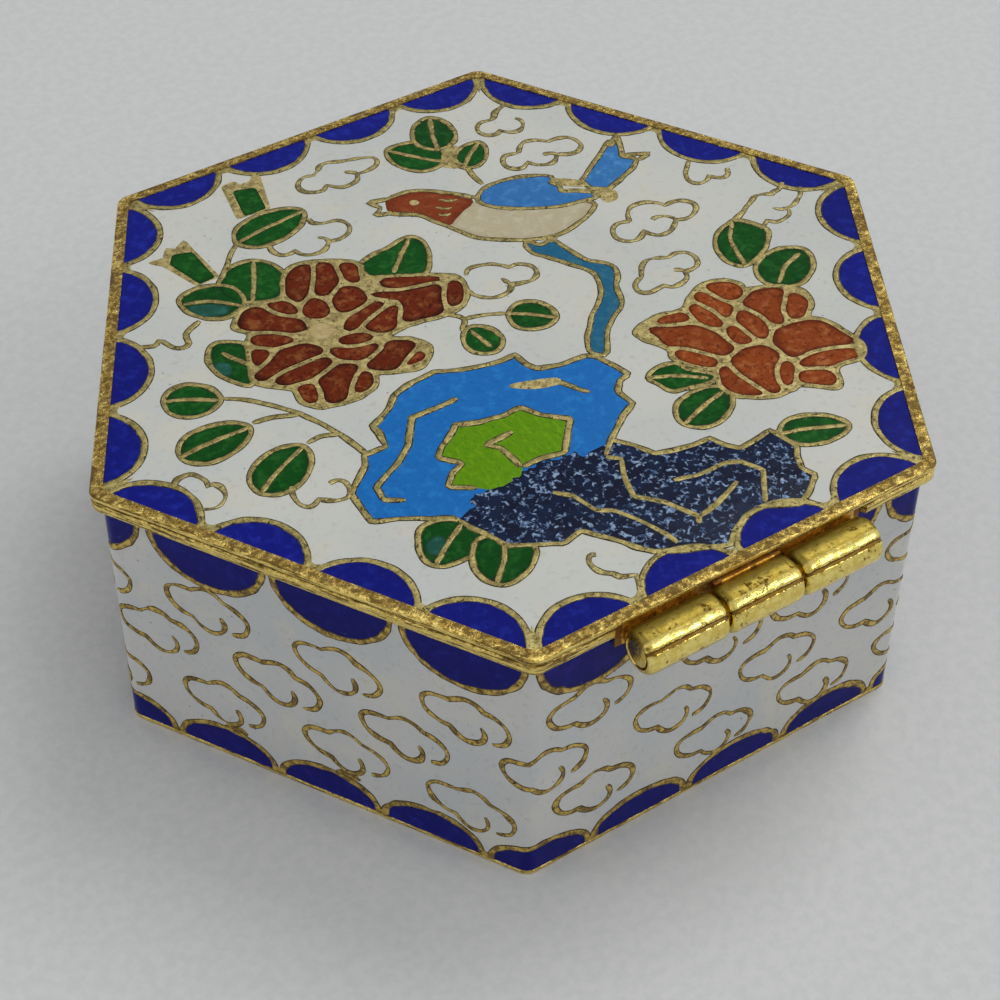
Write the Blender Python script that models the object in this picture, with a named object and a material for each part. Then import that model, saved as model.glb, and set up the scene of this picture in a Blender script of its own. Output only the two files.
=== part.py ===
"""Hexagonal cloisonne enamel trinket box with a hinged lid.

Frame: metres, +Z up, origin at the centre of the underside. The hexagon's
corners stand at 0, 60, 120 ... degrees, and the hinge is on the +Y side.
Sizes are written in millimetres times MM. An apothem is the distance from
the box's middle axis to a flat side. Patterns are drawn flat, in plain
millimetres, and then laid on the lid or folded round the walls.
"""
import math

import bmesh
import bpy
import numpy as np
from mathutils import Matrix, Vector
from mathutils.geometry import delaunay_2d_cdt

MM = 0.001

# overall
HEIGHT = 20.00
CORNER_RADIUS = 1.0
CORNER_STEPS = 2
SEAM_CORNER = 1  # where the unrolled wall pattern is cut

# cup: enamelled copper, open at the top
WALL_APOTHEM = 24.39
WALL_THICKNESS = 1.30
WALL_TOP = 18.72
FLOOR_THICKNESS = 1.65
BASE_APOTHEM = 23.45
BASE_REBATE = 0.35

# brass frames
FOOT_APOTHEM = (23.50, 24.45)
FOOT_HEIGHT = 0.30
BODY_RIM_APOTHEM = (23.35, 25.00)
BODY_RIM_Z = (18.78, 19.48)
LID_RIM_APOTHEM = (24.25, 25.03)
LID_RIM_Z = (19.60, HEIGHT)
RIM_ROUNDING = 0.14

# lid plate: enamelled copper, with a shallow plug that locates it in the mouth
PLATE_APOTHEM = 24.20
PLATE_FACE_Z = 19.90
PLATE_UNDER_Z = 19.56
PLUG_APOTHEM = 22.90
PLUG_UNDER_Z = 18.90

# hinge on the +Y side
AXIS_Y = 26.20
AXIS_Z = 18.245
BARREL_RADIUS = 1.45
BORE_RADIUS = 0.95
PIN_RADIUS = 0.75
OUTER_KNUCKLE_X = (2.80, 8.50)
MIDDLE_KNUCKLE_X = (-2.60, 2.60)
KNUCKLE_ROUNDING = 0.22
BARREL_SIDES = 14
BODY_LEAF_HALF_LENGTH = 8.80
BODY_LEAF_Y = (24.50, 24.70)
BODY_LEAF_Z = (17.60, 19.40)
LEAF_NOTCH_APOTHEM = 24.40
LID_TAB_Y = (24.90, 25.30)
LID_TAB_Z = (18.70, 19.55)

# cloisonne wires, standing a little proud of the enamel
LID_WIRE_WIDTH = 0.48
WALL_WIRE_WIDTH = 0.42
WIRE_HEIGHT = 0.08
SNAP = 0.09  # lines closer than this are joined, so that no face is a sliver

# lid border: scallops against the rim
SCALLOPS_PER_SIDE = 4
LID_SCALLOP_HALF_CHORD = 3.15
LID_SCALLOP_DEPTH = 2.30

# wall borders and clouds, counted right round the box
TOP_SCALLOPS = 20
TOP_SCALLOP_PHASE = 6.95
TOP_SCALLOP_SIZE = (3.85, 2.75)
TOP_SCALLOP_LINE = 17.85
BOTTOM_SCALLOPS = 23
BOTTOM_SCALLOP_PHASE = 7.05
BOTTOM_SCALLOP_SIZE = (3.30, 1.85)
BOTTOM_SCALLOP_LINE = 0.55
CLOUDS_PER_ROW = 20
CLOUD_ROWS = ((12.75, 6.40), (9.00, 3.10), (4.75, 7.10))
CLOUD_SIZE = (2.85, 1.75)

# the lid picture is drawn upright, then turned to its place on the lid
PICTURE_TURN = math.radians(150.0)


def clear_scene():
    for item in list(bpy.data.objects):
        bpy.data.objects.remove(item, do_unlink=True)


def make_material(name, color, roughness, metallic):
    material = bpy.data.materials.new(name)
    material.use_nodes = True
    shader = material.node_tree.nodes["Principled BSDF"]
    shader.inputs["Base Color"].default_value = (*color, 1.0)
    shader.inputs["Roughness"].default_value = roughness
    shader.inputs["Metallic"].default_value = metallic
    material.diffuse_color = (*color, 1.0)
    return material


def add_object(name, bm, material, smooth_below=None):
    """Put a bmesh drawn in millimetres into the scene, in metres."""
    bmesh.ops.scale(bm, vec=(MM, MM, MM), verts=bm.verts)
    bmesh.ops.recalc_face_normals(bm, faces=bm.faces)
    if bm.calc_volume(signed=True) < 0:
        bmesh.ops.reverse_faces(bm, faces=bm.faces)
    mesh = bpy.data.meshes.new(name)
    bm.to_mesh(mesh)
    bm.free()
    if smooth_below is not None:
        mesh.shade_smooth()
        mesh.set_sharp_from_angle(angle=math.radians(smooth_below))
    item = bpy.data.objects.new(name, mesh)
    if material is not None:
        mesh.materials.append(material)
    bpy.context.scene.collection.objects.link(item)
    return item


# ---------------------------------------------------------------- outlines

def hexagon(apothem, corner_radius=CORNER_RADIUS, steps=CORNER_STEPS):
    """Hexagon with its corners rounded by short arcs, anticlockwise from 0 degrees."""
    centre_distance = (apothem - corner_radius) / math.cos(math.pi / 6)
    points = []
    for corner in range(6):
        heading = corner * math.pi / 3
        centre = centre_distance * np.array((math.cos(heading), math.sin(heading)))
        for step in range(steps + 1):
            angle = heading + math.radians(-30 + 60 * step / steps)
            points.append(centre + corner_radius * np.array((math.cos(angle), math.sin(angle))))
    return np.array(points)


def inside_outline(points, outline):
    """True where a point is to the left of every edge of an anticlockwise convex outline."""
    result = np.ones(len(points), bool)
    for start, end in zip(outline, np.roll(outline, -1, axis=0)):
        run = end - start
        result &= run[0] * (points[:, 1] - start[1]) - run[1] * (points[:, 0] - start[0]) > 0
    return result


def arc(centre, radii, start, end, steps):
    angles = np.radians(np.linspace(start, end, steps + 1))
    return np.stack((centre[0] + radii[0] * np.cos(angles), centre[1] + radii[1] * np.sin(angles)), axis=1)


def placed(points, at, turn=0.0, scale=(1.0, 1.0)):
    """Scale a template, turn it by an angle in degrees and move it."""
    c, s = math.cos(math.radians(turn)), math.sin(math.radians(turn))
    x, y = (np.array(points, float) * scale).T
    return np.stack((at[0] + c * x - s * y, at[1] + s * x + c * y), axis=1)


# ------------------------------------------------------------ wire motifs
# Each motif returns a list of (points, closed).

CLOUD_TEMPLATE = ((0.60, -0.80), (1.0, -0.15), (0.50, 0.50), (-0.05, 1.0), (-0.62, 0.55),
                  (-1.0, -0.05), (-0.10, -1.0), (0.36, -0.50))
LEAF_TEMPLATE = ((-1.0, 0.0), (-0.45, 0.88), (0.35, 0.85), (1.0, 0.0), (0.35, -0.85), (-0.45, -0.88))


def cloud(at, size=CLOUD_SIZE, turn=0.0):
    return [(placed(CLOUD_TEMPLATE, at, turn, size), False)]


def leaf(x, y, half_length, half_width, turn):
    outline = placed(LEAF_TEMPLATE, (x, y), turn, (half_length, half_width))
    vein = placed(((-0.85, 0.0), (0.55, 0.0)), (x, y), turn, (half_length, half_width))
    return [(outline, True), (vein, False)]


def flower(at, radii, petals, turn, eye):
    """A lobed outline, a ring of inner petals and an eye off its middle."""
    count = 3 * petals
    angles = np.arange(count) * 2 * math.pi / count + math.radians(turn)
    lobe = np.where(np.arange(count) % 3 == 0, 0.86, 1.0)
    ring = np.stack((np.cos(angles), np.sin(angles)), axis=1)
    centre = np.array(at, float)
    heart = np.array(eye, float)
    outer = centre + ring * lobe[:, None] * radii
    middle = heart + (centre + ring * lobe[:, None] * radii - heart) * 0.55
    motifs = [(outer, True), (middle[::3] * 0.999, True)]
    for k in range(0, count, 3):
        motifs.append((np.array((outer[k], middle[k])), False))
    motifs.append((arc(eye, (0.95, 0.95), 0, 300, 5), True))
    return motifs


LEAVES = (
    (-3.55, 21.2, 1.85, 1.5, 95), (-4.9, 18.5, 2.1, 1.6, 160), (-0.95, 18.4, 1.55, 0.95, 70),
    (-14.9, 10.8, 2.6, 1.6, 38), (-15.7, 5.3, 2.1, 1.9, 92), (-19.0, 3.1, 2.1, 1.6, 170),
    (-6.5, 7.6, 2.2, 1.9, 75), (-19.6, -6.3, 1.75, 1.5, 0), (-17.9, -10.1, 2.4, 1.5, 32),
    (-13.8, -12.8, 2.35, 1.6, 58), (2.0, 0.9, 1.55, 1.4, -10), (-1.2, -1.4, 1.35, 1.2, -60),
    (16.2, 7.7, 2.5, 1.8, 92), (19.0, 5.2, 2.1, 1.6, 45), (10.6, -6.0, 2.2, 1.4, 25),
    (12.0, -9.2, 2.2, 1.4, 45), (18.4, -11.1, 2.2, 1.4, 10), (-4.4, -20.2, 1.9, 1.4, 65),
)
STEMS = (
    ((-2.4, 18.0), (-1.4, 16.9), (-0.4, 15.0)),
    ((-16.9, 9.3), (-17.4, 7.8), (-17.8, 5.2)),
    ((-16.0, -6.4), (-13.2, -7.7), (-11.0, -9.2), (-8.8, -11.4)),
    ((-15.6, -9.2), (-14.5, -8.6), (-13.6, -8.0)),
    ((-3.4, 1.1), (-2.4, 0.6), (-2.2, -0.1)),
)
ROCKS = (
    ((-8.2, -9.4), (-7.2, -7.0), (-5.4, -5.2), (-1.2, -4.1), (0.9, -3.4), (3.2, -4.3), (5.4, -3.7),
     (7.4, -5.3), (6.8, -8.8), (5.6, -12.0), (2.2, -14.6), (-0.9, -15.6), (-4.2, -17.3), (-8.6, -17.2),
     (-9.6, -14.6), (-8.8, -12.0)),
    ((6.2, -12.2), (8.6, -12.6), (11.8, -11.7), (13.7, -12.3), (15.5, -11.4), (16.8, -13.4),
     (16.6, -16.6), (12.6, -18.6), (10.6, -20.4), (6.6, -20.2), (3.2, -18.9), (-0.6, -19.6), (-3.2, -18.2),
     (2.6, -15.6)),
)
ROCK_HOLE = ((-3.4, -9.3), (-0.6, -8.7), (1.6, -8.8), (3.3, -10.2), (1.7, -12.4), (-0.8, -14.6),
             (-3.5, -13.4), (-4.3, -11.2))
ROCK_CRACKS = (
    ((-4.4, -7.4), (-6.1, -9.4), (-6.9, -12.4), (-7.8, -15.2)),
    ((0.6, -5.8), (3.1, -5.8), (5.2, -6.8)),
    ((7.4, -14.2), (9.6, -14.8), (13.4, -13.8)),
    ((4.4, -16.9), (7.0, -18.1), (10.3, -17.9), (13.2, -15.4)),
)
BIRD_BODY = ((-7.6, 12.6), (-6.6, 13.8), (-4.0, 14.2), (-0.4, 14.2), (2.2, 15.6), (5.0, 14.9),
             (6.6, 15.2), (8.8, 19.3), (10.6, 17.6), (8.2, 13.8), (6.6, 11.4), (3.6, 8.9), (0.2, 8.9),
             (-2.8, 10.6), (-5.0, 11.9))
BIRD_LINES = (
    ((-1.6, 13.8), (-1.6, 12.2), (-2.7, 11.0)),
    ((-1.0, 12.6), (2.4, 12.2), (6.6, 13.1)),
)
BRANCH = ((2.4, 8.0), (4.6, 7.5), (6.2, 6.1), (7.4, 5.2), (7.6, 1.8), (6.5, -1.4), (6.0, -3.0),
          (5.5, -1.8), (6.1, 1.2), (6.7, 4.0), (5.6, 5.7), (2.7, 7.2))
LID_CLOUDS = (
    (-10.0, 16.7, 2.6, 1.8, 20), (-12.2, 9.4, 2.0, 1.6, -40), (1.3, 21.6, 1.8, 1.5, 90),
    (4.0, 18.3, 2.5, 1.6, 10), (15.2, 15.4, 1.7, 1.1, 170), (11.0, 10.6, 2.6, 1.9, 20),
    (18.9, 11.9, 2.3, 1.6, 40), (11.1, 4.9, 2.0, 1.7, 30), (0.4, 4.6, 2.1, 1.7, 0),
    (-18.6, -14.6, 1.7, 1.3, 170), (-11.4, -15.0, 1.8, 1.1, 170), (4.9, -22.2, 1.1, 0.8, 170),
)


def lid_border():
    """Arcs that stand on the rim, four to each side, measured inwards from it."""
    depth, half = LID_SCALLOP_DEPTH, LID_SCALLOP_HALF_CHORD
    radius = (half * half + depth * depth) / (2 * depth)
    reach = math.degrees(math.asin(half / radius))
    side_length = 2 * PLATE_APOTHEM * math.tan(math.pi / 6)
    pitch = side_length / SCALLOPS_PER_SIDE
    motifs = []
    for side in range(6):
        for k in range(SCALLOPS_PER_SIDE):
            along = (k - (SCALLOPS_PER_SIDE - 1) / 2) * pitch
            middle = (along, PLATE_APOTHEM - depth + radius)
            curve = arc(middle, (radius, radius), -90 - reach, -90 + reach, 4)
            motifs.append((placed(curve, (0, 0), 60 * side), False))
    return motifs


def lid_picture():
    """Rocks, branch and stems, two peonies, a bird, leaves and drifting clouds."""
    motifs = []
    for row in LEAVES:
        motifs += leaf(*row)
    motifs += flower((-9.9, -0.2), (6.3, 6.6), 6, 15, (-11.2, 0.0))
    motifs += flower((15.8, -2.2), (5.9, 4.9), 6, 20, (15.6, -1.6))
    motifs += [(np.array(points), False) for points in STEMS + ROCK_CRACKS + BIRD_LINES]
    motifs += [(np.array(points), True) for points in ROCKS + (ROCK_HOLE, BIRD_BODY, BRANCH)]
    for x, y, length, width, turn in LID_CLOUDS:
        motifs += cloud((x, y), (length, width), turn)
    return [(placed(points, (0, 0), math.degrees(PICTURE_TURN)), closed) for points, closed in motifs]


def wall_pattern(perimeter):
    """Scallops under the rim and over the foot, and three staggered rows of clouds."""
    motifs = []
    for k in range(TOP_SCALLOPS):
        centre = (TOP_SCALLOP_PHASE + k * perimeter / TOP_SCALLOPS, TOP_SCALLOP_LINE)
        motifs.append((arc(centre, TOP_SCALLOP_SIZE, 180, 360, 4), True))
    for k in range(BOTTOM_SCALLOPS):
        centre = (BOTTOM_SCALLOP_PHASE + k * perimeter / BOTTOM_SCALLOPS, BOTTOM_SCALLOP_LINE)
        motifs.append((arc(centre, BOTTOM_SCALLOP_SIZE, 180, 0, 4), False))
    for height, phase in CLOUD_ROWS:
        for k in range(CLOUDS_PER_ROW):
            motifs += cloud((phase + k * perimeter / CLOUDS_PER_ROW, height))
    return motifs


# ---------------------------------------------------------- raised wires

class Drawing:
    """Lines on a flat sheet, which becomes a triangle mesh with raised wires."""

    def __init__(self, wire_width):
        self.points = []
        self.edges = []
        self.spines = []
        self.half_width = wire_width / 2

    def add_line(self, points, closed=False):
        first = len(self.points)
        count = len(points)
        self.points += [tuple(point) for point in points]
        self.edges += [(first + k, first + k + 1) for k in range(count - 1)]
        if closed:
            self.edges.append((first + count - 1, first))
        return first, first + count - 1

    def add_wire(self, points, closed):
        """A ridge line with one foot line on each side, joined across open ends."""
        ahead = np.roll(points, -1, axis=0) - points
        ahead /= np.linalg.norm(ahead, axis=1)[:, None]
        behind = np.roll(ahead, 1, axis=0)
        if not closed:
            ahead[-1] = behind[-1]
            behind[0] = ahead[0]
        normal = np.stack((-(ahead + behind)[:, 1], (ahead + behind)[:, 0]), axis=1)
        square = (normal ** 2).sum(axis=1)
        mitre = 2 * normal / np.maximum(square, 1.0)[:, None]
        ends = [self.add_line(points + mitre * shift, closed)
                for shift in (-self.half_width, 0.0, self.half_width)]
        if not closed:
            for end in (0, 1):
                self.edges += [(ends[0][end], ends[1][end]), (ends[1][end], ends[2][end])]
        pairs = np.stack((points, np.roll(points, -1, axis=0)), axis=1)
        self.spines += list(pairs if closed else pairs[:-1])

    def snap_across(self, folds):
        """Move points that lie almost on a fold line onto it."""
        points = np.array(self.points)
        for fold in folds:
            points[np.abs(points[:, 0] - fold) < 2 * SNAP, 0] = fold
        self.points = [tuple(point) for point in points]

    def heights(self, points):
        """A wire's section is a low ridge: full height on its line, none at its half width."""
        starts = np.array([pair[0] for pair in self.spines])
        runs = np.array([pair[1] for pair in self.spines]) - starts
        offset = points[:, None, :] - starts[None, :, :]
        share = np.clip((offset * runs).sum(axis=2) / (runs ** 2).sum(axis=1), 0.0, 1.0)
        distance = np.linalg.norm(offset - share[:, :, None] * runs, axis=2).min(axis=1)
        return WIRE_HEIGHT * np.clip(1.0 - distance / self.half_width, 0.0, 1.0)

    def triangles(self, keep):
        """Triangulate the sheet along its lines and keep the triangles whose middle passes."""
        flat = [Vector(point) for point in self.points]
        points, _, faces, _, _, _ = delaunay_2d_cdt(flat, self.edges, [], 0, SNAP)
        points = np.array([tuple(point) for point in points])
        faces = np.array([tuple(face) for face in faces])
        middles = points[faces].mean(axis=1)
        return points, faces[keep(middles)]


def fill_from(bm, points, faces):
    """Add only the points that the faces use."""
    used = {int(k): bm.verts.new(points[k]) for k in np.unique(faces)}
    for face in faces:
        bm.faces.new([used[int(k)] for k in face])
    bmesh.ops.remove_doubles(bm, verts=bm.verts, dist=SNAP / 4)
    bmesh.ops.dissolve_degenerate(bm, dist=SNAP / 4, edges=bm.edges)


def open_edges(bm):
    return [edge for edge in bm.edges if edge.is_boundary]


def add_loop(bm, outline, z):
    verts = [bm.verts.new((x, y, z)) for x, y in outline]
    return [bm.edges.new((verts[k - 1], verts[k])) for k in range(len(verts))]


def extend_down(bm, edges, z):
    """Drop walls from a loop of edges to a level, and return the new loop."""
    made = bmesh.ops.extrude_edge_only(bm, edges=edges)["geom"]
    for vert in (item for item in made if isinstance(item, bmesh.types.BMVert)):
        vert.co.z = z
    old = set(edges)
    return [item for item in made if isinstance(item, bmesh.types.BMEdge)
            and item.is_boundary and item not in old]


def cap(bm, edges):
    bmesh.ops.triangle_fill(bm, use_beauty=True, edges=edges)


def bridge(bm, first, second):
    bmesh.ops.bridge_loops(bm, edges=first + second)


# ------------------------------------------------------------------ pieces

def along_loop(distance, loop):
    """The points of a closed outline at distances along it, which may run past its end."""
    marks = np.concatenate(([0.0], np.cumsum(np.linalg.norm(np.diff(loop, axis=0), axis=1))))
    distance = np.mod(distance, marks[-1])
    return np.interp(distance, marks, loop[:, 0]), np.interp(distance, marks, loop[:, 1])


def build_shell(material):
    """The cup: patterned walls folded round the hexagon, plain inside and below."""
    loop = np.roll(hexagon(WALL_APOTHEM), -(CORNER_STEPS // 2), axis=0)
    loop = np.vstack((loop, loop[:1]))
    folds = np.concatenate(([0.0], np.cumsum(np.linalg.norm(np.diff(loop, axis=0), axis=1))))
    perimeter = folds[-1]
    low, high = BASE_REBATE, WALL_TOP
    seam = SEAM_CORNER * perimeter / 6

    drawing = Drawing(WALL_WIRE_WIDTH)
    margin = 2 * TOP_SCALLOP_SIZE[0]
    for motif, closed in wall_pattern(perimeter):
        for lap in (-perimeter, 0.0, perimeter):
            shifted = motif + (lap, 0.0)
            if shifted[:, 0].max() > seam - margin and shifted[:, 0].min() < seam + perimeter + margin:
                drawing.add_wire(shifted, closed)
    for level in (low, high):
        drawing.add_line(((seam - margin, level), (seam + perimeter + margin, level)))
    folds = np.concatenate((folds[:-1], folds + perimeter))
    folds = folds[(folds > seam - SNAP) & (folds < seam + perimeter + SNAP)]
    for fold in folds:
        drawing.add_line(((fold, low - margin), (fold, high + margin)))
    drawing.snap_across(folds)

    points, faces = drawing.triangles(
        lambda middles: (middles[:, 0] > seam) & (middles[:, 0] < seam + perimeter)
        & (middles[:, 1] > low) & (middles[:, 1] < high))
    rise = drawing.heights(points)
    x, y = along_loop(points[:, 0], loop)
    swell = 1.0 + rise / WALL_APOTHEM
    bm = bmesh.new()
    fill_from(bm, np.stack((x * swell, y * swell, points[:, 1]), axis=1), faces)

    upper = [edge for edge in open_edges(bm) if edge.verts[0].co.z > HEIGHT / 2]
    lower = [edge for edge in open_edges(bm) if edge.verts[0].co.z < HEIGHT / 2]
    mouth = add_loop(bm, hexagon(WALL_APOTHEM - WALL_THICKNESS), high)
    bridge(bm, upper, mouth)
    cap(bm, extend_down(bm, mouth, FLOOR_THICKNESS))
    base = add_loop(bm, hexagon(BASE_APOTHEM), low)
    bridge(bm, lower, base)
    cap(bm, extend_down(bm, base, 0.0))
    return add_object("body_shell", bm, material)


def build_plate(material):
    """The lid plate: the picture above, plain steps down to the plug below."""
    drawing = Drawing(LID_WIRE_WIDTH)
    for motif, closed in lid_border() + lid_picture():
        drawing.add_wire(motif, closed)
    drawing.add_line(hexagon(PLATE_APOTHEM), closed=True)
    points, faces = drawing.triangles(lambda middles: inside_outline(middles, hexagon(PLATE_APOTHEM)))
    z = PLATE_FACE_Z + drawing.heights(points)
    bm = bmesh.new()
    fill_from(bm, np.column_stack((points, z)), faces)
    under = extend_down(bm, open_edges(bm), PLATE_UNDER_Z)
    plug = add_loop(bm, hexagon(PLUG_APOTHEM), PLATE_UNDER_Z)
    bridge(bm, under, plug)
    cap(bm, extend_down(bm, plug, PLUG_UNDER_Z))
    return add_object("lid_plate", bm, material)


def ring(profile, place):
    """Sweep a closed profile of (apothem, z) round the hexagon; place may shift its points."""
    bm = bmesh.new()
    columns = []
    for k in range(6 * (CORNER_STEPS + 1)):
        columns.append([bm.verts.new(place(k, apothem, z)) for apothem, z in profile])
    for k, column in enumerate(columns):
        before = columns[k - 1]
        for j in range(len(profile)):
            bm.faces.new((before[j - 1], before[j], column[j], column[j - 1]))
    return bm


def on_hexagon(k, apothem, z):
    x, y = hexagon(apothem)[k]
    return x, y, z


def rounded_profile(inner, outer, low, high, rounding):
    """A flat strip in section, its two outer edges softened."""
    return ((inner, low), (outer - rounding, low), (outer, low + rounding),
            (outer, high - rounding), (outer - rounding, high), (inner, high))


def build_rims(brass):
    foot = ring(rounded_profile(*FOOT_APOTHEM, 0.0, FOOT_HEIGHT, 0.06), on_hexagon)
    add_object("foot_ring", foot, brass, 35)
    lid = ring(rounded_profile(*LID_RIM_APOTHEM, *LID_RIM_Z, RIM_ROUNDING), on_hexagon)
    add_object("lid_rim", lid, brass, 35)
    body = ring(rounded_profile(*BODY_RIM_APOTHEM, *BODY_RIM_Z, RIM_ROUNDING), on_hexagon)
    rim = add_object("body_rim", body, brass, 35)
    notch = box_between((-BODY_LEAF_HALF_LENGTH - 0.1, LEAF_NOTCH_APOTHEM, BODY_RIM_Z[0] - 1.0),
                        (BODY_LEAF_HALF_LENGTH + 0.1, BODY_RIM_APOTHEM[1] + 1.0, BODY_RIM_Z[1] + 1.0))
    combine(rim, helper("rim_notch", notch), "DIFFERENCE")


def box_between(low, high):
    bm = bmesh.new()
    size = Vector(high) - Vector(low)
    middle = (Vector(high) + Vector(low)) / 2
    bmesh.ops.create_cube(bm, size=1.0, matrix=Matrix.Translation(middle) @ Matrix.Diagonal((*size, 1.0)))
    return bm


def barrel(x_from, x_to):
    """One knuckle: a tube along X with softened ends, turned round the hinge axis."""
    soft = KNUCKLE_ROUNDING
    profile = ((x_from + soft, BARREL_RADIUS), (x_to - soft, BARREL_RADIUS),
               (x_to, BARREL_RADIUS - soft), (x_to, BORE_RADIUS),
               (x_from, BORE_RADIUS), (x_from, BARREL_RADIUS - soft))
    bm = bmesh.new()
    columns = []
    for k in range(BARREL_SIDES):
        angle = 2 * math.pi * (k + 0.5) / BARREL_SIDES
        columns.append([bm.verts.new((x, AXIS_Y + r * math.cos(angle), AXIS_Z + r * math.sin(angle)))
                        for x, r in profile])
    for k, column in enumerate(columns):
        for j in range(len(profile)):
            bm.faces.new((columns[k - 1][j - 1], columns[k - 1][j], column[j], column[j - 1]))
    return bm


def helper(name, bm):
    """A shape that only cuts or joins others."""
    item = add_object(name, bm, None)
    item.display_type = "WIRE"
    item.hide_render = True
    return item


def combine(item, other, operation):
    modifier = item.modifiers.new(other.name, "BOOLEAN")
    modifier.operation = operation
    modifier.solver = "EXACT"
    modifier.object = other


def build_hinge(brass, steel):
    """Body leaf with two outer knuckles, lid tab with the middle one, and the pin."""
    near, far = OUTER_KNUCKLE_X
    leaf = add_object("hinge_leaf_body", box_between(
        (-BODY_LEAF_HALF_LENGTH, BODY_LEAF_Y[0], BODY_LEAF_Z[0]),
        (BODY_LEAF_HALF_LENGTH, BODY_LEAF_Y[1], BODY_LEAF_Z[1])), brass, 35)
    for name, x_from, x_to in (("knuckle_left", -far, -near), ("knuckle_right", near, far)):
        root = box_between((x_from + KNUCKLE_ROUNDING, BODY_LEAF_Y[0] + 0.05, AXIS_Z - 0.45),
                           (x_to - KNUCKLE_ROUNDING, AXIS_Y - BARREL_RADIUS + 0.25, AXIS_Z + 0.45))
        combine(leaf, helper(name + "_root", root), "UNION")
        combine(leaf, helper(name, barrel(x_from, x_to)), "UNION")
    tab = add_object("hinge_leaf_lid", box_between(
        (MIDDLE_KNUCKLE_X[0] + KNUCKLE_ROUNDING, LID_TAB_Y[0], LID_TAB_Z[0]),
        (MIDDLE_KNUCKLE_X[1] - KNUCKLE_ROUNDING, LID_TAB_Y[1], LID_TAB_Z[1])), brass, 35)
    combine(tab, helper("knuckle_middle", barrel(*MIDDLE_KNUCKLE_X)), "UNION")
    pin = bmesh.new()
    turn = Matrix.Translation((0, AXIS_Y, AXIS_Z)) @ Matrix.Rotation(math.pi / 2, 4, "Y")
    bmesh.ops.create_cone(pin, cap_ends=True, segments=12, radius1=PIN_RADIUS, radius2=PIN_RADIUS,
                          depth=2 * far - 0.5, matrix=turn)
    add_object("hinge_pin", pin, steel, 35)


def hang_lid():
    """Parent the lid's pieces to an empty on the hinge axis."""
    axis = bpy.data.objects.new("lid_hinge_axis", None)
    axis.location = (0, AXIS_Y * MM, AXIS_Z * MM)
    bpy.context.scene.collection.objects.link(axis)
    for name in ("lid_plate", "lid_rim", "hinge_leaf_lid"):
        piece = bpy.data.objects[name]
        piece.parent = axis
        piece.matrix_parent_inverse = Matrix.Translation(-axis.location)


def main():
    clear_scene()
    enamel = make_material("white_enamel", (0.55, 0.57, 0.55), 0.22, 0.0)
    picture = make_material("lid_enamel", (0.50, 0.53, 0.51), 0.18, 0.0)
    brass = make_material("worn_brass", (0.52, 0.38, 0.13), 0.42, 1.0)
    steel = make_material("pin_steel", (0.35, 0.30, 0.24), 0.45, 1.0)
    build_shell(enamel)
    build_plate(picture)
    build_rims(brass)
    build_hinge(brass, steel)
    hang_lid()


main()
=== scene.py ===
# Hexagonal cloisonne trinket box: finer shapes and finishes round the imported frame.
# Lengths are in millimetres until putMesh. Patterns are drawn flat as (x, y, height)
# and then laid on the lid or folded round the walls.
import math

import bpy
import numpy as np
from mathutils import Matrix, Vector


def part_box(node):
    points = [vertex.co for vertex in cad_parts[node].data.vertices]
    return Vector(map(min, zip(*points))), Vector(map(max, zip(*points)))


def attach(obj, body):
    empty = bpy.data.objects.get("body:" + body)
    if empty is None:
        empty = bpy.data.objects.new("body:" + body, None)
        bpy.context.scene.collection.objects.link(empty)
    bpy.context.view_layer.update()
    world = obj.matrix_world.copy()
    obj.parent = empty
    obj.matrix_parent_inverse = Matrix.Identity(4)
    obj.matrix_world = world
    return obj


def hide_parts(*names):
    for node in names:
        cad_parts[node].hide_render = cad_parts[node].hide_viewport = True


mm = 0.001
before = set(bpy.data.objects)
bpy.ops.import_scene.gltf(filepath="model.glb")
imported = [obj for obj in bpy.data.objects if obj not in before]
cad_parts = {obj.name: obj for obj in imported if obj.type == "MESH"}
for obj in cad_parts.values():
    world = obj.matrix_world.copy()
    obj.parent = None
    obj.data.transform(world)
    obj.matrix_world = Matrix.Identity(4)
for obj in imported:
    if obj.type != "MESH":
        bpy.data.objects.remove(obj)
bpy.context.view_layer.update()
rng = np.random.default_rng(11)


def span(node, axis):  # lowest and highest value of a CAD node along an axis, in mm
    low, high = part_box(node)
    return low[axis] / mm, high[axis] / mm


hexCosine = math.cos(math.pi / 6)
rimLow, rimTop = span("lid_rim", 2)
lid = {"apothem": 24.20, "face": rimTop - 0.10, "under": rimLow - 0.04, "turn": 150.0}
wall = {"apothem": span("foot_ring", 1)[1] - 0.06, "top": span("body_shell", 2)[1], "low": 0.35}
cornerRadius = 1.0  # of the hexagon's upright corners


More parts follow.
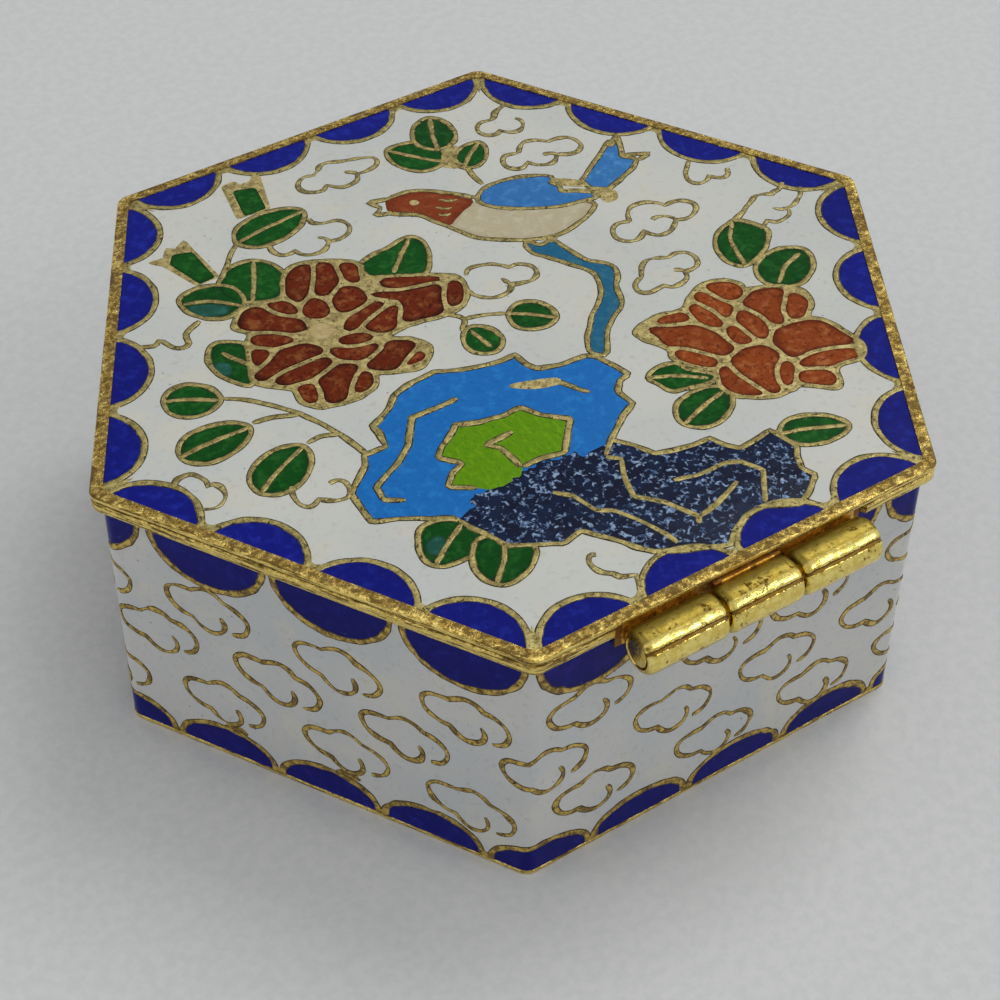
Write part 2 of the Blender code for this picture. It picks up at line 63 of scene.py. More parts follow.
def putMesh(name, points, faceSets, materials, slots=None, marks=None, sharpFrom=40.0):
    # faceSets holds index arrays, one row to a face; marks holds one number to a vertex
    mesh = bpy.data.meshes.new(name)
    points = np.asarray(points, np.float64).reshape(-1, 3) * mm
    faceSets = [np.asarray(f, np.int32) for f in faceSets if len(f)]
    corners = np.concatenate([f.ravel() for f in faceSets])
    counts = np.concatenate([np.full(len(f), f.shape[1], np.int32) for f in faceSets])
    mesh.vertices.add(len(points))
    mesh.vertices.foreach_set("co", points.astype(np.float32).ravel())
    mesh.loops.add(len(corners))
    mesh.loops.foreach_set("vertex_index", corners)
    mesh.polygons.add(len(counts))
    mesh.polygons.foreach_set("loop_start", np.concatenate(([0], np.cumsum(counts)[:-1])).astype(np.int32))
    for material in materials:
        mesh.materials.append(material)
    if slots is not None:
        mesh.polygons.foreach_set("material_index", np.asarray(slots, np.int32))
    mesh.update(calc_edges=True)
    for label, values in (marks or {}).items():
        layer = mesh.attributes.new(label, "FLOAT", "POINT")
        layer.data.foreach_set("value", np.asarray(values, np.float32))
    mesh.shade_smooth()
    mesh.set_sharp_from_angle(angle=math.radians(sharpFrom))
    piece = bpy.data.objects.new(name, mesh)
    bpy.context.scene.collection.objects.link(piece)
    return piece


def gridFaces(rows, columns, closeRows=False, closeColumns=False):
    # quads of a grid whose vertex (i, j) is number i * columns + j
    i = np.arange(rows if closeRows else rows - 1)[:, None]
    j = np.arange(columns if closeColumns else columns - 1)[None, :]
    right, below = (j + 1) % columns, ((i + 1) % rows) * columns
    quads = np.stack((i * columns + j, i * columns + right, below + right, below + j), axis=-1)
    return quads.reshape(-1, 4)


class Heap:  # gathers small shapes into one mesh, each turned about the middle axis as it is added
    def __init__(self):
        self.points, self.faces, self.marks, self.count, self.turn = [], {}, [], 0, 0.0

    def add(self, points, faceSets, **marks):
        for faces in faceSets:
            faces = np.asarray(faces)
            self.faces.setdefault(faces.shape[1], []).append(faces + self.count)
        self.points.append(turned(points, self.turn))
        self.marks.append(marks)
        self.count += len(points)

    def put(self, name, material, place, body, slot, *replaced):
        faceSets = [np.concatenate(sets) for sets in self.faces.values()]
        labels = sorted({label for marks in self.marks for label in marks})
        marks = {label: np.concatenate([np.broadcast_to(marks.get(label, 0.0), len(points))
                                        for marks, points in zip(self.marks, self.points)])
                 for label in labels}
        points = place(np.concatenate(self.points))
        finished(putMesh(name, points, faceSets, [material], None, marks), body, slot, *replaced)


def finished(piece, body, slot, *replaced):  # the body a piece rides on, its slot (not used), the nodes it stands for
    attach(piece, body)
    if replaced:
        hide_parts(*replaced)


def hexRing(apothem, flat, corner):
    # hexagon with rounded corners: arcs of the radius about points (apothem - radius) / cos 30 out,
    # joined by straight sides; anticlockwise from just before the corner at 0 degrees
    radius = min(cornerRadius, 0.9 * apothem)
    heading = np.arange(6)[:, None] * math.pi / 3
    swing = heading + np.radians(np.linspace(-30, 30, corner + 1))[None, :]
    reach = (apothem - radius) / hexCosine
    arcs = np.stack((reach * np.cos(heading) + radius * np.cos(swing),
                     reach * np.sin(heading) + radius * np.sin(swing)), axis=-1)
    share = (np.arange(1, flat) / flat)[None, :, None]
    sides = arcs[:, -1:] * (1 - share) + np.roll(arcs[:, :1], -1, axis=0) * share
    return np.concatenate((arcs, sides), axis=1).reshape(-1, 2)


def hexSweep(name, profile, materials, closed, shift, flat, corner=6, sharpFrom=40.0):
    # profile rows are (apothem, z, slot of the band that follows, mark of wear and painted light), carried
    # round the hexagon and then shifted; an open profile starts and ends on the middle axis, at apothem 0
    rows = [row for row in profile if row[0] > 0]
    outline = [hexRing(row[0], flat, corner) for row in rows]
    rings = shift(np.array([np.column_stack((ring, np.full(len(ring), row[1])))
                            for row, ring in zip(rows, outline)]))
    count = rings.shape[1]
    faceSets = [gridFaces(len(rows), count, closeRows=closed, closeColumns=True)]
    slots = [np.repeat([row[2] for row in (rows if closed else rows[:-1])], count)]
    points = rings.reshape(-1, 3)
    wear = np.repeat([row[3] for row in rows], count)
    if not closed:
        points = np.vstack((points, ((0, 0, profile[0][1]), (0, 0, profile[-1][1]))))
        wear = np.append(wear, (profile[0][3], profile[-1][3]))
        j = np.arange(count)
        last = (len(rows) - 1) * count
        faceSets.append(np.stack((np.full(count, len(points) - 2), (j + 1) % count, j), axis=1))
        faceSets.append(np.stack((np.full(count, len(points) - 1), last + j, last + (j + 1) % count), axis=1))
        slots += [np.full(count, profile[0][2]), np.full(count, rows[-1][2])]
    return putMesh(name, points, faceSets, materials, np.concatenate(slots), {"wear": wear}, sharpFrom)


def ripple(x, y, size, height):  # low uneven surface: the mean of three crossing sines
    x, y = x / size, y / size
    return height / 3 * (np.sin(x + 1.3 * np.sin(y)) + np.sin(0.8 * y - 0.6 * x + 2.0)
                         + np.sin(1.7 * x + 1.1 * y + 4.0))


def turned(points, degrees):  # points turned about the middle axis: x cos - y sin, x sin + y cos
    c, s = math.cos(math.radians(degrees)), math.sin(math.radians(degrees))
    points = np.array(points, float)
    x, y = points[:, 0].copy(), points[:, 1].copy()
    points[:, 0], points[:, 1] = c * x - s * y, s * x + c * y
    return points


def onLid(points):  # flat (x, y, height) to the lid's face
    placed = turned(points, lid["turn"])
    placed[:, 2] += lid["face"]
    return placed


def distances(line):  # length of a line from its start to each of its points
    return np.concatenate(([0.0], np.cumsum(np.linalg.norm(np.diff(line, axis=0), axis=1))))


cornerSteps = 12
wallLoop = np.roll(hexRing(wall["apothem"], 1, cornerSteps), -cornerSteps // 2, axis=0)
wallLoop = np.vstack((wallLoop, wallLoop[:1]))
wallMarks = distances(wallLoop)
perimeter = wallMarks[-1]


def onWall(points):  # flat (distance round from the corner at 0 degrees, z, height) to the walls
    along = np.mod(points[:, 0], perimeter)
    x, y = np.interp(along, wallMarks, wallLoop[:, 0]), np.interp(along, wallMarks, wallLoop[:, 1])
    swell = 1.0 + points[:, 2] / wall["apothem"]
    return np.stack((x * swell, y * swell, points[:, 1]), axis=1)


curveSteps = 12  # places worked out on a curve from one control point to the next


def walk(points, closed, step=0.3, sharp=False):
    # even steps along straight runs, or along a Catmull-Rom curve through the points a b c d:
    # p(t) = (2b + (c - a) t + (2a - 5b + 4c - d) t^2 + (3b - 3c + d - a) t^3) / 2
    points = np.array(points, float)
    if closed:
        points = np.vstack((points, points[:1]))
    if not sharp:
        before = points[-2:-1] if closed else 2 * points[:1] - points[1:2]
        after = points[1:2] if closed else 2 * points[-1:] - points[-2:-1]
        padded = np.vstack((before, points, after))
        a, b, c, d = (padded[k:len(padded) - 3 + k, None, :] for k in range(4))
        t = np.linspace(0, 1, curveSteps, endpoint=False)[None, :, None]
        curve = (2 * b + (c - a) * t + (2 * a - 5 * b + 4 * c - d) * t ** 2
                 + (3 * b - 3 * c + d - a) * t ** 3) / 2
        points = np.vstack((curve.reshape(-1, 2), points[-1:]))
    length = distances(points)
    count = max(int(round(length[-1] / step)), 3)
    even = np.linspace(0, length[-1], count + 1)
    line = np.stack((np.interp(even, length, points[:, 0]), np.interp(even, length, points[:, 1])), axis=1)
    return line[:-1] if closed else line


def sideways(line, closed):  # unit normals to the left of a line
    ahead = np.roll(line, -1, axis=0) - np.roll(line, 1, axis=0)
    if not closed:
        ahead[0], ahead[-1] = line[1] - line[0], line[-1] - line[-2]
    normal = np.stack((-ahead[:, 1], ahead[:, 0]), axis=1)
    return normal / np.maximum(np.linalg.norm(normal, axis=1), 1e-9)[:, None]


def area(line):  # half the sum of x(i) y(i+1) - x(i+1) y(i): above 0 when the line runs anticlockwise
    x, y = line[:, 0], line[:, 1]
    return 0.5 * float((x * np.roll(y, -1) - np.roll(x, -1) * y).sum())


def grown(line, by):  # a closed line pushed outwards, by one amount or one to a point
    side = -1 if area(line) > 0 else 1
    return line + sideways(line, True) * side * np.reshape(by, (-1, 1))


def apart(points, others):  # from each point to the nearest of the others
    return np.linalg.norm(points[:, None] - others[None], axis=2).min(axis=1)


def within(points, outline):
    # points inside a closed line: a ray from them crosses it an odd number of times
    x, y = points[:, :1], points[:, 1:]
    a, b = outline, np.roll(outline, -1, axis=0)
    slope = (b[:, 0] - a[:, 0]) / np.where(b[:, 1] == a[:, 1], 1e-9, b[:, 1] - a[:, 1])
    crossed = ((a[:, 1] > y) != (b[:, 1] > y)) & (x < (y - a[:, 1]) * slope + a[:, 0])
    return crossed.sum(axis=1) % 2 == 1


def lobed(*runs, step=0.26):  # smooth runs that meet in cusps; each starts where the last one ended
    line = walk(runs[0], False, step)
    for run in runs[1:]:
        line = np.vstack((line, walk(np.vstack((line[-1:], run)), False, step)[1:]))
    return line


def wobble(count, closed, amount, knots):  # random values at some knots to a point, and straight between
    values = rng.normal(0, amount, max(int(count * knots), 3))
    if closed:
        values = np.append(values, values[0])
    return np.interp(np.linspace(0, len(values) - 1, count), np.arange(len(values)), values)


wire = {
    "unevenness": 0.11, "stray": 0.015, "lift": 0.002,
    # across (1 is half the width) and height over the enamel; past 1 it is the dark joint, partly a
    # painted shade in the gap beside the wire
    "section": ((-1.50, -0.04), (-1.44, 0.012), (-1.02, 0.018), (-0.88, 0.028), (-0.45, 0.032),
                (0.45, 0.032), (0.88, 0.028), (1.02, 0.018), (1.44, 0.012), (1.50, -0.04)),
}


def addWire(heap, points, closed, width, sharp=False, step=0.3, along=False, taper=0.6, uneven=1.0):
    # the section carried along the line: line + normal * across * half width, then its height
    line = np.array(points, float) if along else walk(points, closed, step, sharp)
    count = len(line)
    line = line + sideways(line, closed) * wobble(count, closed, wire["stray"], 0.5)[:, None]
    normal = sideways(line, closed)
    half = width / 2 * (1 + uneven * wobble(count, closed, wire["unevenness"], 0.4))
    if not closed:
        half[[0, -1]] *= taper
    across, height = np.array(wire["section"]).T
    flat = line[:, None, :] + normal[:, None, :] * (half[:, None] * across[None, :])[:, :, None]
    high = np.broadcast_to(height[None, :], (count, len(across)))
    high = high + np.where(height > 0.02, 1, 0)[None, :] * wobble(count, closed, wire["lift"], 0.5)[:, None]
    shape = np.concatenate((flat, high[:, :, None]), axis=2)
    size = len(across)
    faceSets = [gridFaces(count, size, closeRows=closed, closeColumns=True)[:, ::-1]]
    if not closed:
        faceSets.append(np.array([np.arange(size), (count - 1) * size + np.arange(size)[::-1]]))
    heap.add(shape.reshape(-1, 3), faceSets, across=np.tile(np.abs(across), count))


# rings are shares of the way from a fill's middle to its outline, each with its "near"; an arch's
# rows are shares of its rise
cell = {
    "root": -0.05, "lip": 0.005, "rings": ((0.93, 0.85), (0.72, 0.5184), (0.42, 0.1764)),
    "archRows": (0.0, 0.35, 0.7, 0.93, 1.0), "archLip": 0.004,
}


def addCell(heap, line, top, tone=None, fan=False, edge=0.06):
    # a fill of enamel: its outline lifted to the top and a narrow edge band; then one face inside,
    # or rings shrinking to the middle, where "near" falls from 1 at the outline to 0
    if area(line) < 0:
        line = line[::-1]
    count = len(line)
    tone = rng.uniform(0, 1) if tone is None else tone
    rings = [np.column_stack((line, np.full(count, level))) for level in (cell["root"], top - cell["lip"])]
    near = [1.0, 1.0]
    if fan:
        middle = line.mean(axis=0)
        for share, mark in cell["rings"]:
            rings.append(np.column_stack((middle + (line - middle) * share, np.full(count, top))))
            near.append(mark)
    else:
        rings.append(np.column_stack((grown(line, -edge), np.full(count, top))))
        near.append(0.0)
    j = np.arange(count)
    last = (len(rings) - 1) * count
    faceSets = [gridFaces(len(rings), count, closeColumns=True), [j[::-1]]]
    near = np.repeat(near, count)
    points = np.vstack(rings)
    if fan:
        points = np.vstack((points, (*middle, top)))
        near = np.append(near, 0.0)
        faceSets.append(np.stack((last + j, last + (j + 1) % count, np.full(count, last + count)), axis=1))
    else:
        faceSets.append([last + j])
    heap.add(points, faceSets, near=near, tone=tone)


def bow(centre, half, level, depth, count, round=False):
    # arch below or above a level line: level + depth * sqrt(1 - t^2), or a circle's arc through
    # the same ends
    t = np.linspace(-1, 1, count)
    if round:
        radius = (half ** 2 + depth ** 2) / (2 * abs(depth))
        rise = np.sqrt(radius ** 2 - (half * t) ** 2) - (radius - abs(depth))
        rise = rise * math.copysign(1, depth)
    else:
        t = np.sin(t * math.pi / 2)
        rise = depth * np.sqrt(np.maximum(1 - t ** 2, 0))
    return np.stack((centre + half * t, level + rise), axis=1)


def addArch(heap, arch, base, top):
    # the fill between a straight base and an arch: rows from base to arch above, and back below;
    # row heights are base + (arch - base) * share
    share = np.array(cell["archRows"])
    arch = np.vstack((arch[:1], arch, arch[-1:]))
    rise = base + (arch[:, 1] - base)[None, :] * share[:, None]
    high = np.full(rise.shape, top)
    high[-1] -= cell["archLip"]
    high[:, [0, -1]] = cell["root"]
    upper = np.stack((np.broadcast_to(arch[:, 0], rise.shape), rise, high), axis=2)
    lower = upper[::-1].copy()
    lower[:, :, 2] = cell["root"]
    near = np.concatenate((share, np.ones(len(share))))[:, None] * np.ones((1, len(arch)))
    near[:, [0, 1, -2, -1]] = 1.0
    faces = gridFaces(2 * len(share), len(arch), closeRows=True)
    below = arch[len(arch) // 2, 1] < base
    heap.add(np.concatenate((upper, lower)).reshape(-1, 3), [faces[:, ::-1] if below else faces],
             near=near.ravel(), tone=rng.uniform(0, 1))


def paint(red, green, blue):  # a colour as a screen shows it, 0 to 255, made linear
    c = np.array((red, green, blue), float) / 255
    c = np.where(c < 0.04045, c / 12.92, ((c + 0.055) / 1.055) ** 2.4)
    return (*c.tolist(), 1.0)


class Finish:  # a material and its nodes; sizes on its patterns are in millimetres
    def __init__(self, name, **sockets):
        self.material = bpy.data.materials.new(name)
        self.material.use_nodes = True
        self.tree = self.material.node_tree
        self.shader = self.tree.nodes["Principled BSDF"]
        for label, value in sockets.items():
            self.set(label.replace("_", " "), value)
        coords = self.tree.nodes.new("ShaderNodeTexCoord")
        self.where = self.node("ShaderNodeMapping",
                               {"Vector": coords.outputs["Object"], "Scale": (1 / mm,) * 3})

    def set(self, label, value):  # a number, a colour or a socket into the shader
        if isinstance(value, bpy.types.NodeSocket):
            self.tree.links.new(value, self.shader.inputs[label])
        else:
            self.shader.inputs[label].default_value = value

    def node(self, kind, inputs=None, output=0, **settings):  # adds a node and gives one of its outputs
        node = self.tree.nodes.new(kind)
        for label, value in settings.items():
            setattr(node, label, value)
        for label, value in (inputs or {}).items():
            if isinstance(value, bpy.types.NodeSocket):
                self.tree.links.new(value, node.inputs[label])
            else:
                node.inputs[label].default_value = value
        return node.outputs[output]

    def noise(self, size, detail=2.0, rough=0.5, bend=0.0, stretch=None):  # soft patches about size across
        where = self.where
        if stretch:
            where = self.node("ShaderNodeMapping", {"Vector": where, "Scale": stretch})
        return self.node("ShaderNodeTexNoise", {"Vector": where, "Scale": 1 / size, "Detail": detail,
                                                "Roughness": rough, "Distortion": bend})

    def dots(self, size, reach=0.12):  # 1 near scattered points about size apart, 0 beyond the reach
        points = self.node("ShaderNodeTexVoronoi", {"Vector": self.where, "Scale": 1 / size})
        return self.step(points, 0.05, reach, (1.0, 0.0))

    def step(self, value, low, high, to=(0.0, 1.0)):
        # 0 below low and 1 above high, or from one number to another, smooth between
        return self.node("ShaderNodeMapRange", {"Value": value, "From Min": low, "From Max": high,
                                                "To Min": to[0], "To Max": to[1]},
                         interpolation_type="SMOOTHSTEP")

    def times(self, first, second):  # the product of two numbers or sockets
        return self.node("ShaderNodeMath", {0: first, 1: second}, operation="MULTIPLY")

    def plus(self, first, second):  # their sum
        return self.node("ShaderNodeMath", {0: first, 1: second}, operation="ADD")

    def mark(self, label):  # a mesh's own numbers of that name
        return self.node("ShaderNodeAttribute", output=2, attribute_name=label)

    def mix(self, share, first, second):  # first where the share is 0, second where it is 1
        return self.node("ShaderNodeMix", {0: share, 6: first, 7: second}, output=2, data_type="RGBA")

    def bump(self, height, depth, before=None):  # relief of a depth in mm, over what came before
        inputs = {"Height": height, "Strength": 1.0, "Distance": depth * mm}
        if before is not None:
            inputs["Normal"] = before
        return self.node("ShaderNodeBump", inputs)


def makeGlaze(name, deep, plain, pale, edge=0.5, mottle=0.5, flecks=0.5, streak=None, chips=0.0, shine=0.3):
    # fired enamel: plain with pale clouds and deep grains, each fill with its own tone, and painted
    # deeper again at the wires, where "near" is 1: a painted shade where the enamel meets the wires
    look = Finish(name, Roughness=0.24, Specular_IOR_Level=shine)
    body = look.noise(0.8, 3.0, 0.65, stretch=streak)
    colour = look.mix(look.step(body, 0.46, 0.70), paint(*plain), paint(*pale))
    grains = look.step(look.noise(0.30, 3.0, 0.7, stretch=streak), 0.50, 0.68, (0.0, mottle))
    colour = look.mix(grains, colour, paint(*deep))
    colour = look.mix(look.times(look.mark("tone"), 0.35), colour, paint(*deep))
    # painted shade: darker towards the wires, as strongly as edge says
    rim = look.plus(look.mark("near"), look.times(look.noise(0.5), 0.6))
    colour = look.mix(look.step(rim, 0.80, 1.32, (0.0, edge)), colour, paint(*deep))
    dots = look.dots(0.42, 0.11)
    some = look.step(look.noise(1.7), 0.52, 0.62)
    colour = look.mix(look.times(look.times(dots, some), flecks), colour, paint(24, 26, 34))
    if chips:
        torn = look.plus(look.noise(0.5, 4.0, 0.7), look.times(look.mark("near"), 0.14))
        colour = look.mix(look.step(torn, 0.77, 0.85, (0.0, chips)), colour, paint(104, 122, 190))
    look.set("Base Color", colour)
    look.set("Normal", look.bump(dots, -0.01, look.bump(look.noise(2.2, 1.0), 0.03)))
    return look.material


glazes = {
    # name: (deep, plain, pale), then options; edge is the strength of the painted shade at the wires
    "cobaltGlaze": ((8, 12, 88), (14, 22, 128), (26, 42, 156),
                    dict(edge=0.3, mottle=0.3, flecks=0.6, chips=0.55, shine=0.12)),
    "wallCobaltGlaze": ((10, 11, 74), (17, 18, 110), (26, 30, 128),
                        dict(edge=0.3, mottle=0.3, chips=0.3, shine=0.08)),
    "leafGlaze": ((2, 42, 10), (8, 78, 18), (36, 104, 36), dict(edge=0.7, mottle=0.45, shine=0.12)),
    "tealGlaze": ((4, 56, 40), (12, 84, 66), (40, 112, 100), dict(mottle=0.4, edge=0.9)),
    "peonyGlaze": ((54, 16, 4), (114, 40, 12), (150, 88, 46),
                   dict(edge=1.0, mottle=0.8, flecks=0.7, shine=0.10)),
    "blossomGlaze": ((86, 30, 8), (152, 70, 24), (182, 108, 60), dict(edge=1.0, mottle=0.8, shine=0.10)),
    "stamenGlaze": ((150, 120, 70), (196, 176, 120), (214, 200, 150), {}),
    "headGlaze": ((92, 34, 12), (146, 62, 24), (160, 88, 46), dict(edge=0.6, shine=0.15)),
    "wingGlaze": ((26, 88, 150), (48, 118, 184), (76, 144, 204), dict(mottle=0.35)),
    "bellyGlaze": ((168, 156, 122), (192, 182, 152), (204, 196, 172), dict(mottle=0.3, flecks=0.3)),
    "branchGlaze": ((2, 66, 106), (14, 104, 140), (52, 122, 138), dict(mottle=0.4)),
    "rockGlaze": ((6, 52, 112), (20, 110, 188), (34, 126, 202), dict(mottle=0.2, edge=1.0, shine=0.2)),
    "limeGlaze": ((54, 92, 0), (96, 148, 2), (116, 162, 10),
                  dict(mottle=0.4, edge=1.0, streak=(2.4, 1.0, 1.0), shine=0.15)),
}
finishes = {name: makeGlaze(name, *colours, **options) for name, (*colours, options) in glazes.items()}


def makeWhite(name, plain, cool, warm, pits, stain):
    # white enamel: broad cool and warm clouds, small dull stains, and a few dark pits
    look = Finish(name, Roughness=0.26, Specular_IOR_Level=0.4)
    colour = look.mix(look.step(look.noise(9.0, 2.0), 0.35, 0.65), paint(*cool), paint(*plain))
    colour = look.mix(look.step(look.noise(3.0, 3.0), 0.50, 0.75, (0.0, 0.7)), colour, paint(*warm))
    dull = look.step(look.noise(0.45, 3.0, 0.7), 0.52, 0.78, (0.0, stain))
    colour = look.mix(dull, colour, paint(150, 146, 132))
    spots = look.times(look.dots(0.75), look.step(look.noise(2.1, 2.0), 0.54, 0.62))
    look.set("Base Color", look.mix(look.times(spots, pits), colour, paint(96, 98, 100)))
    look.set("Normal", look.bump(spots, -0.02, look.bump(look.noise(2.6, 2.0), 0.03)))
    return look.material


whites = {
    "lidWhite": dict(plain=(206, 207, 199), cool=(198, 201, 196), warm=(210, 206, 190),
                     pits=0.55, stain=0.30),
    "wallWhite": dict(plain=(200, 200, 197), cool=(190, 193, 194), warm=(206, 203, 190),
                      pits=0.75, stain=0.35),
}
finishes.update({name: makeWhite(name, **values) for name, values in whites.items()})


def makeWire(name, bright, dull, dark, jointAndShade, tarnish):
    # across is 1 at the wire's edge; past it is the joint, dark only here and there: partly the joint,
    # partly a painted shade in the gap beside the wire
    look = Finish(name, Metallic=0.6)
    worn = look.noise(0.55, 4.0, 0.7)
    colour = look.mix(look.step(worn, 0.40, 0.60), paint(*dull), paint(*bright))
    pits = look.step(look.noise(0.26, 4.0, 0.75), 0.54, 0.63)
    colour = look.mix(look.times(pits, tarnish), colour, paint(*dark))
    seam = look.step(look.mark("across"), 0.90, 1.04)
    shown = look.step(look.noise(0.5, 3.0), 0.36, 0.58, (0.55, 1.0))
    look.set("Base Color", look.mix(look.times(seam, shown), colour, paint(*jointAndShade)))
    look.set("Roughness", look.plus(look.step(pits, 0.0, 1.0, (0.38, 0.7)),
                                    look.step(seam, 0.0, 1.0, (0.0, 0.2))))
    look.set("Normal", look.bump(look.noise(0.12, 3.0, 0.65), 0.035, look.bump(look.noise(0.4, 2.0), 0.03)))
    return look.material


wireLooks = {
    # name: bright, dull, dark and joint colours (the joint's partly a painted shade), then how far the
    # pits darken
    "flowerGold": ((206, 188, 124), (160, 142, 86), (76, 60, 26), (44, 36, 16), 0.85),
    "lidWire": ((190, 174, 108), (146, 132, 76), (66, 54, 24), (36, 32, 14), 0.9),
    "cloudWire": ((196, 180, 116), (134, 120, 72), (66, 56, 32), (78, 70, 48), 0.8),
    "wallWire": ((216, 184, 92), (132, 106, 48), (52, 40, 20), (72, 60, 38), 0.9),
}
finishes.update({name: makeWire(name, *values) for name, values in wireLooks.items()})


def makeGilt(name, bright, plain, brown, tarnish, roughness, metal, glitter=0.012, cover=0.0, patch=1.5,
             lines=0.0):
    # gilded brass: brown and pitted where the gilding has gone, less so where the wear mark is high,
    # and painted bright gilt where it is 1.3 to 2, a painted highlight, with level lines where it is near 2;
    # where "dull" is 1 it has lost its polish and is painted a darker olive, a painted shade
    look = Finish(name, Metallic=metal)
    pits = look.noise(0.30, 4.0, 0.7)
    gone = look.plus(look.times(look.noise(patch, 4.0, 0.65), 0.5), look.times(pits, 0.6))
    gone = look.plus(gone, look.times(look.mark("wear"), -0.05))
    scored = look.step(look.noise(0.8, 3.0, 0.7, stretch=(0.3, 0.3, 6.0)), 0.35, 0.65, (-lines, lines))
    gone = look.plus(gone, look.times(scored, look.mark("wear")))
    shade = look.step(gone, 0.555 - cover, 0.65 - cover, (0.0, tarnish))
    colour = look.mix(look.step(look.noise(0.6 * patch, 4.0, 0.7), 0.42, 0.60), paint(*plain), paint(*bright))
    # painted highlight: where the wear mark is 1.3 to 2 (the rims' fronts, the rod) the gilt is painted
    # bright
    colour = look.mix(look.step(look.mark("wear"), 1.3, 2.0, (0.0, 0.7)), colour, paint(*bright))
    # painted shade: where "dull" is 1 (the tops of the hinge rolls) the gilt is painted a darker olive
    dull = look.times(look.mark("dull"), 0.85)
    look.set("Base Color", look.mix(shade, look.mix(dull, colour, paint(132, 112, 38)), paint(*brown)))
    rough = look.plus(look.step(shade, 0.0, 1.0, (roughness, roughness + 0.2)), look.times(dull, 0.35))
    look.set("Roughness", look.plus(rough, look.step(pits, 0.3, 0.7, (-0.06, 0.06))))
    uneven = look.bump(look.noise(0.9, 3.0, 0.6), 0.05)
    look.set("Normal", look.bump(shade, -0.02, look.bump(look.noise(0.22, 4.0, 0.7), glitter, uneven)))
    return look.material


gilts = {
    # patch is the size of the worn patches, cover widens them, lines is the strength of the scoring
    "rimGilt": dict(bright=(255, 228, 132), plain=(170, 138, 64), brown=(84, 54, 18), tarnish=0.85,
                    roughness=0.27, metal=0.95, glitter=0.06, cover=0.048, patch=0.5, lines=0.13),
    "hingeGilt": dict(bright=(250, 230, 136), plain=(230, 204, 104), brown=(98, 62, 12), tarnish=0.9,
                      roughness=0.15, metal=1.0, cover=-0.03, patch=0.9),
    "tabGilt": dict(bright=(244, 196, 80), plain=(200, 144, 48), brown=(98, 44, 10), tarnish=0.8,
                    roughness=0.30, metal=0.8, glitter=0.05, cover=-0.03, patch=0.8),
    "pinMetal": dict(bright=(240, 212, 116), plain=(214, 182, 84), brown=(96, 64, 24), tarnish=0.6,
                     roughness=0.25, metal=0.95),
}
finishes.update({name: makeGilt(name, **values) for name, values in gilts.items()})


def makeGranite():  # dark fill crowded with curly pale grains
    look = Finish("graniteGlaze", Roughness=0.24, Specular_IOR_Level=0.2)
    grain = look.noise(0.38, 2.0, 0.6, 0.5)
    ground = look.mix(look.step(look.noise(1.2), 0.35, 0.65), paint(4, 14, 42), paint(9, 28, 60))
    pale = look.step(look.noise(0.3, 3.0, 0.6), 0.38, 0.62)
    pale = look.mix(pale, paint(58, 84, 124), paint(146, 170, 200))
    look.set("Base Color", look.mix(look.step(grain, 0.54, 0.63), ground, pale))
    look.set("Normal", look.bump(grain, 0.01, look.bump(look.noise(2.0), 0.02)))
    return look.material


def makeCounterEnamel():  # the plain fired back of the walls, floor and plug
    look = Finish("counterEnamel", Roughness=0.32, Coat_Weight=0.3, Coat_Roughness=0.15)
    colour = look.mix(look.step(look.noise(5.0, 3.0), 0.35, 0.65), paint(44, 96, 150), paint(60, 118, 170))
    spots = look.times(look.dots(0.8, 0.13), look.step(look.noise(2.0), 0.45, 0.6))
    look.set("Base Color", look.mix(spots, colour, paint(26, 40, 62)))
    look.set("Normal", look.bump(spots, -0.03, look.bump(look.noise(1.6, 3.0), 0.06)))
    return look.material


finishes["graniteGlaze"] = makeGranite()
finishes["counterEnamel"] = makeCounterEnamel()
print("finishes made")


def aimedLight(name, at, towards, size, power):
    # a rectangle of light; its tilt and heading come from the line between the two places
    lamp = bpy.data.lights.new(name, "AREA")
    lamp.shape, lamp.size, lamp.size_y = "RECTANGLE", size[0] * mm, size[1] * mm
    lamp.energy = power
    item = bpy.data.objects.new(name, lamp)
    item.location = [v * mm for v in at]
    away = np.array(at, float) - np.array(towards, float)
    item.rotation_euler = (math.atan2(math.hypot(away[0], away[1]), away[2]), 0.0,
                           math.atan2(away[1], away[0]) + math.pi / 2)
    bpy.context.scene.collection.objects.link(item)


view = {"at": (61.818, 91.442, 111.18), "tilt": (45.956, -0.536, 146.45), "lens": 81.158, "sensor": 36.0}
camera = bpy.data.objects.new("camera", bpy.data.cameras.new("camera"))
camera.location = [v * mm for v in view["at"]]
camera.rotation_euler = [math.radians(v) for v in view["tilt"]]
camera.data.lens = view["lens"]
camera.data.sensor_width = view["sensor"]
camera.data.clip_start, camera.data.clip_end = 0.01, 20.0
bpy.context.scene.collection.objects.link(camera)
bpy.context.scene.camera = camera

room = {
    "sky": 0.85, "tint": (0.98, 0.985, 1.0, 1.0),
    # the far end of the room and the viewer's side: direction, where dimming starts and ends, what is left
    "dims": (((-0.42, -0.62, 0.66), 0.42, 0.78, 0.42), ((0.30, 0.925, 0.22), 0.10, 0.95, 0.54)),
    # where each light stands, what it faces, its width and height, its power
    "lights": {
        "key": ((-1350, -450, 2238), (0, 0, 0), (1300, 1300), 20.6),
        "fill": ((60, 420, 330), (0, 0, 0), (320, 160), 0.05),
        "strip": ((-448, 650, 714), (0, 26, 18), (300, 260), 0.92),
    },
    "floor": {"reach": 900.0, "level": -0.02, "dark": (205, 207, 206), "pale": (211, 212, 211)},
}
world = bpy.data.worlds.new("room")
world.use_nodes = True
nodes, links = world.node_tree.nodes, world.node_tree.links
way = nodes.new("ShaderNodeTexCoord").outputs["Generated"]
strength = None
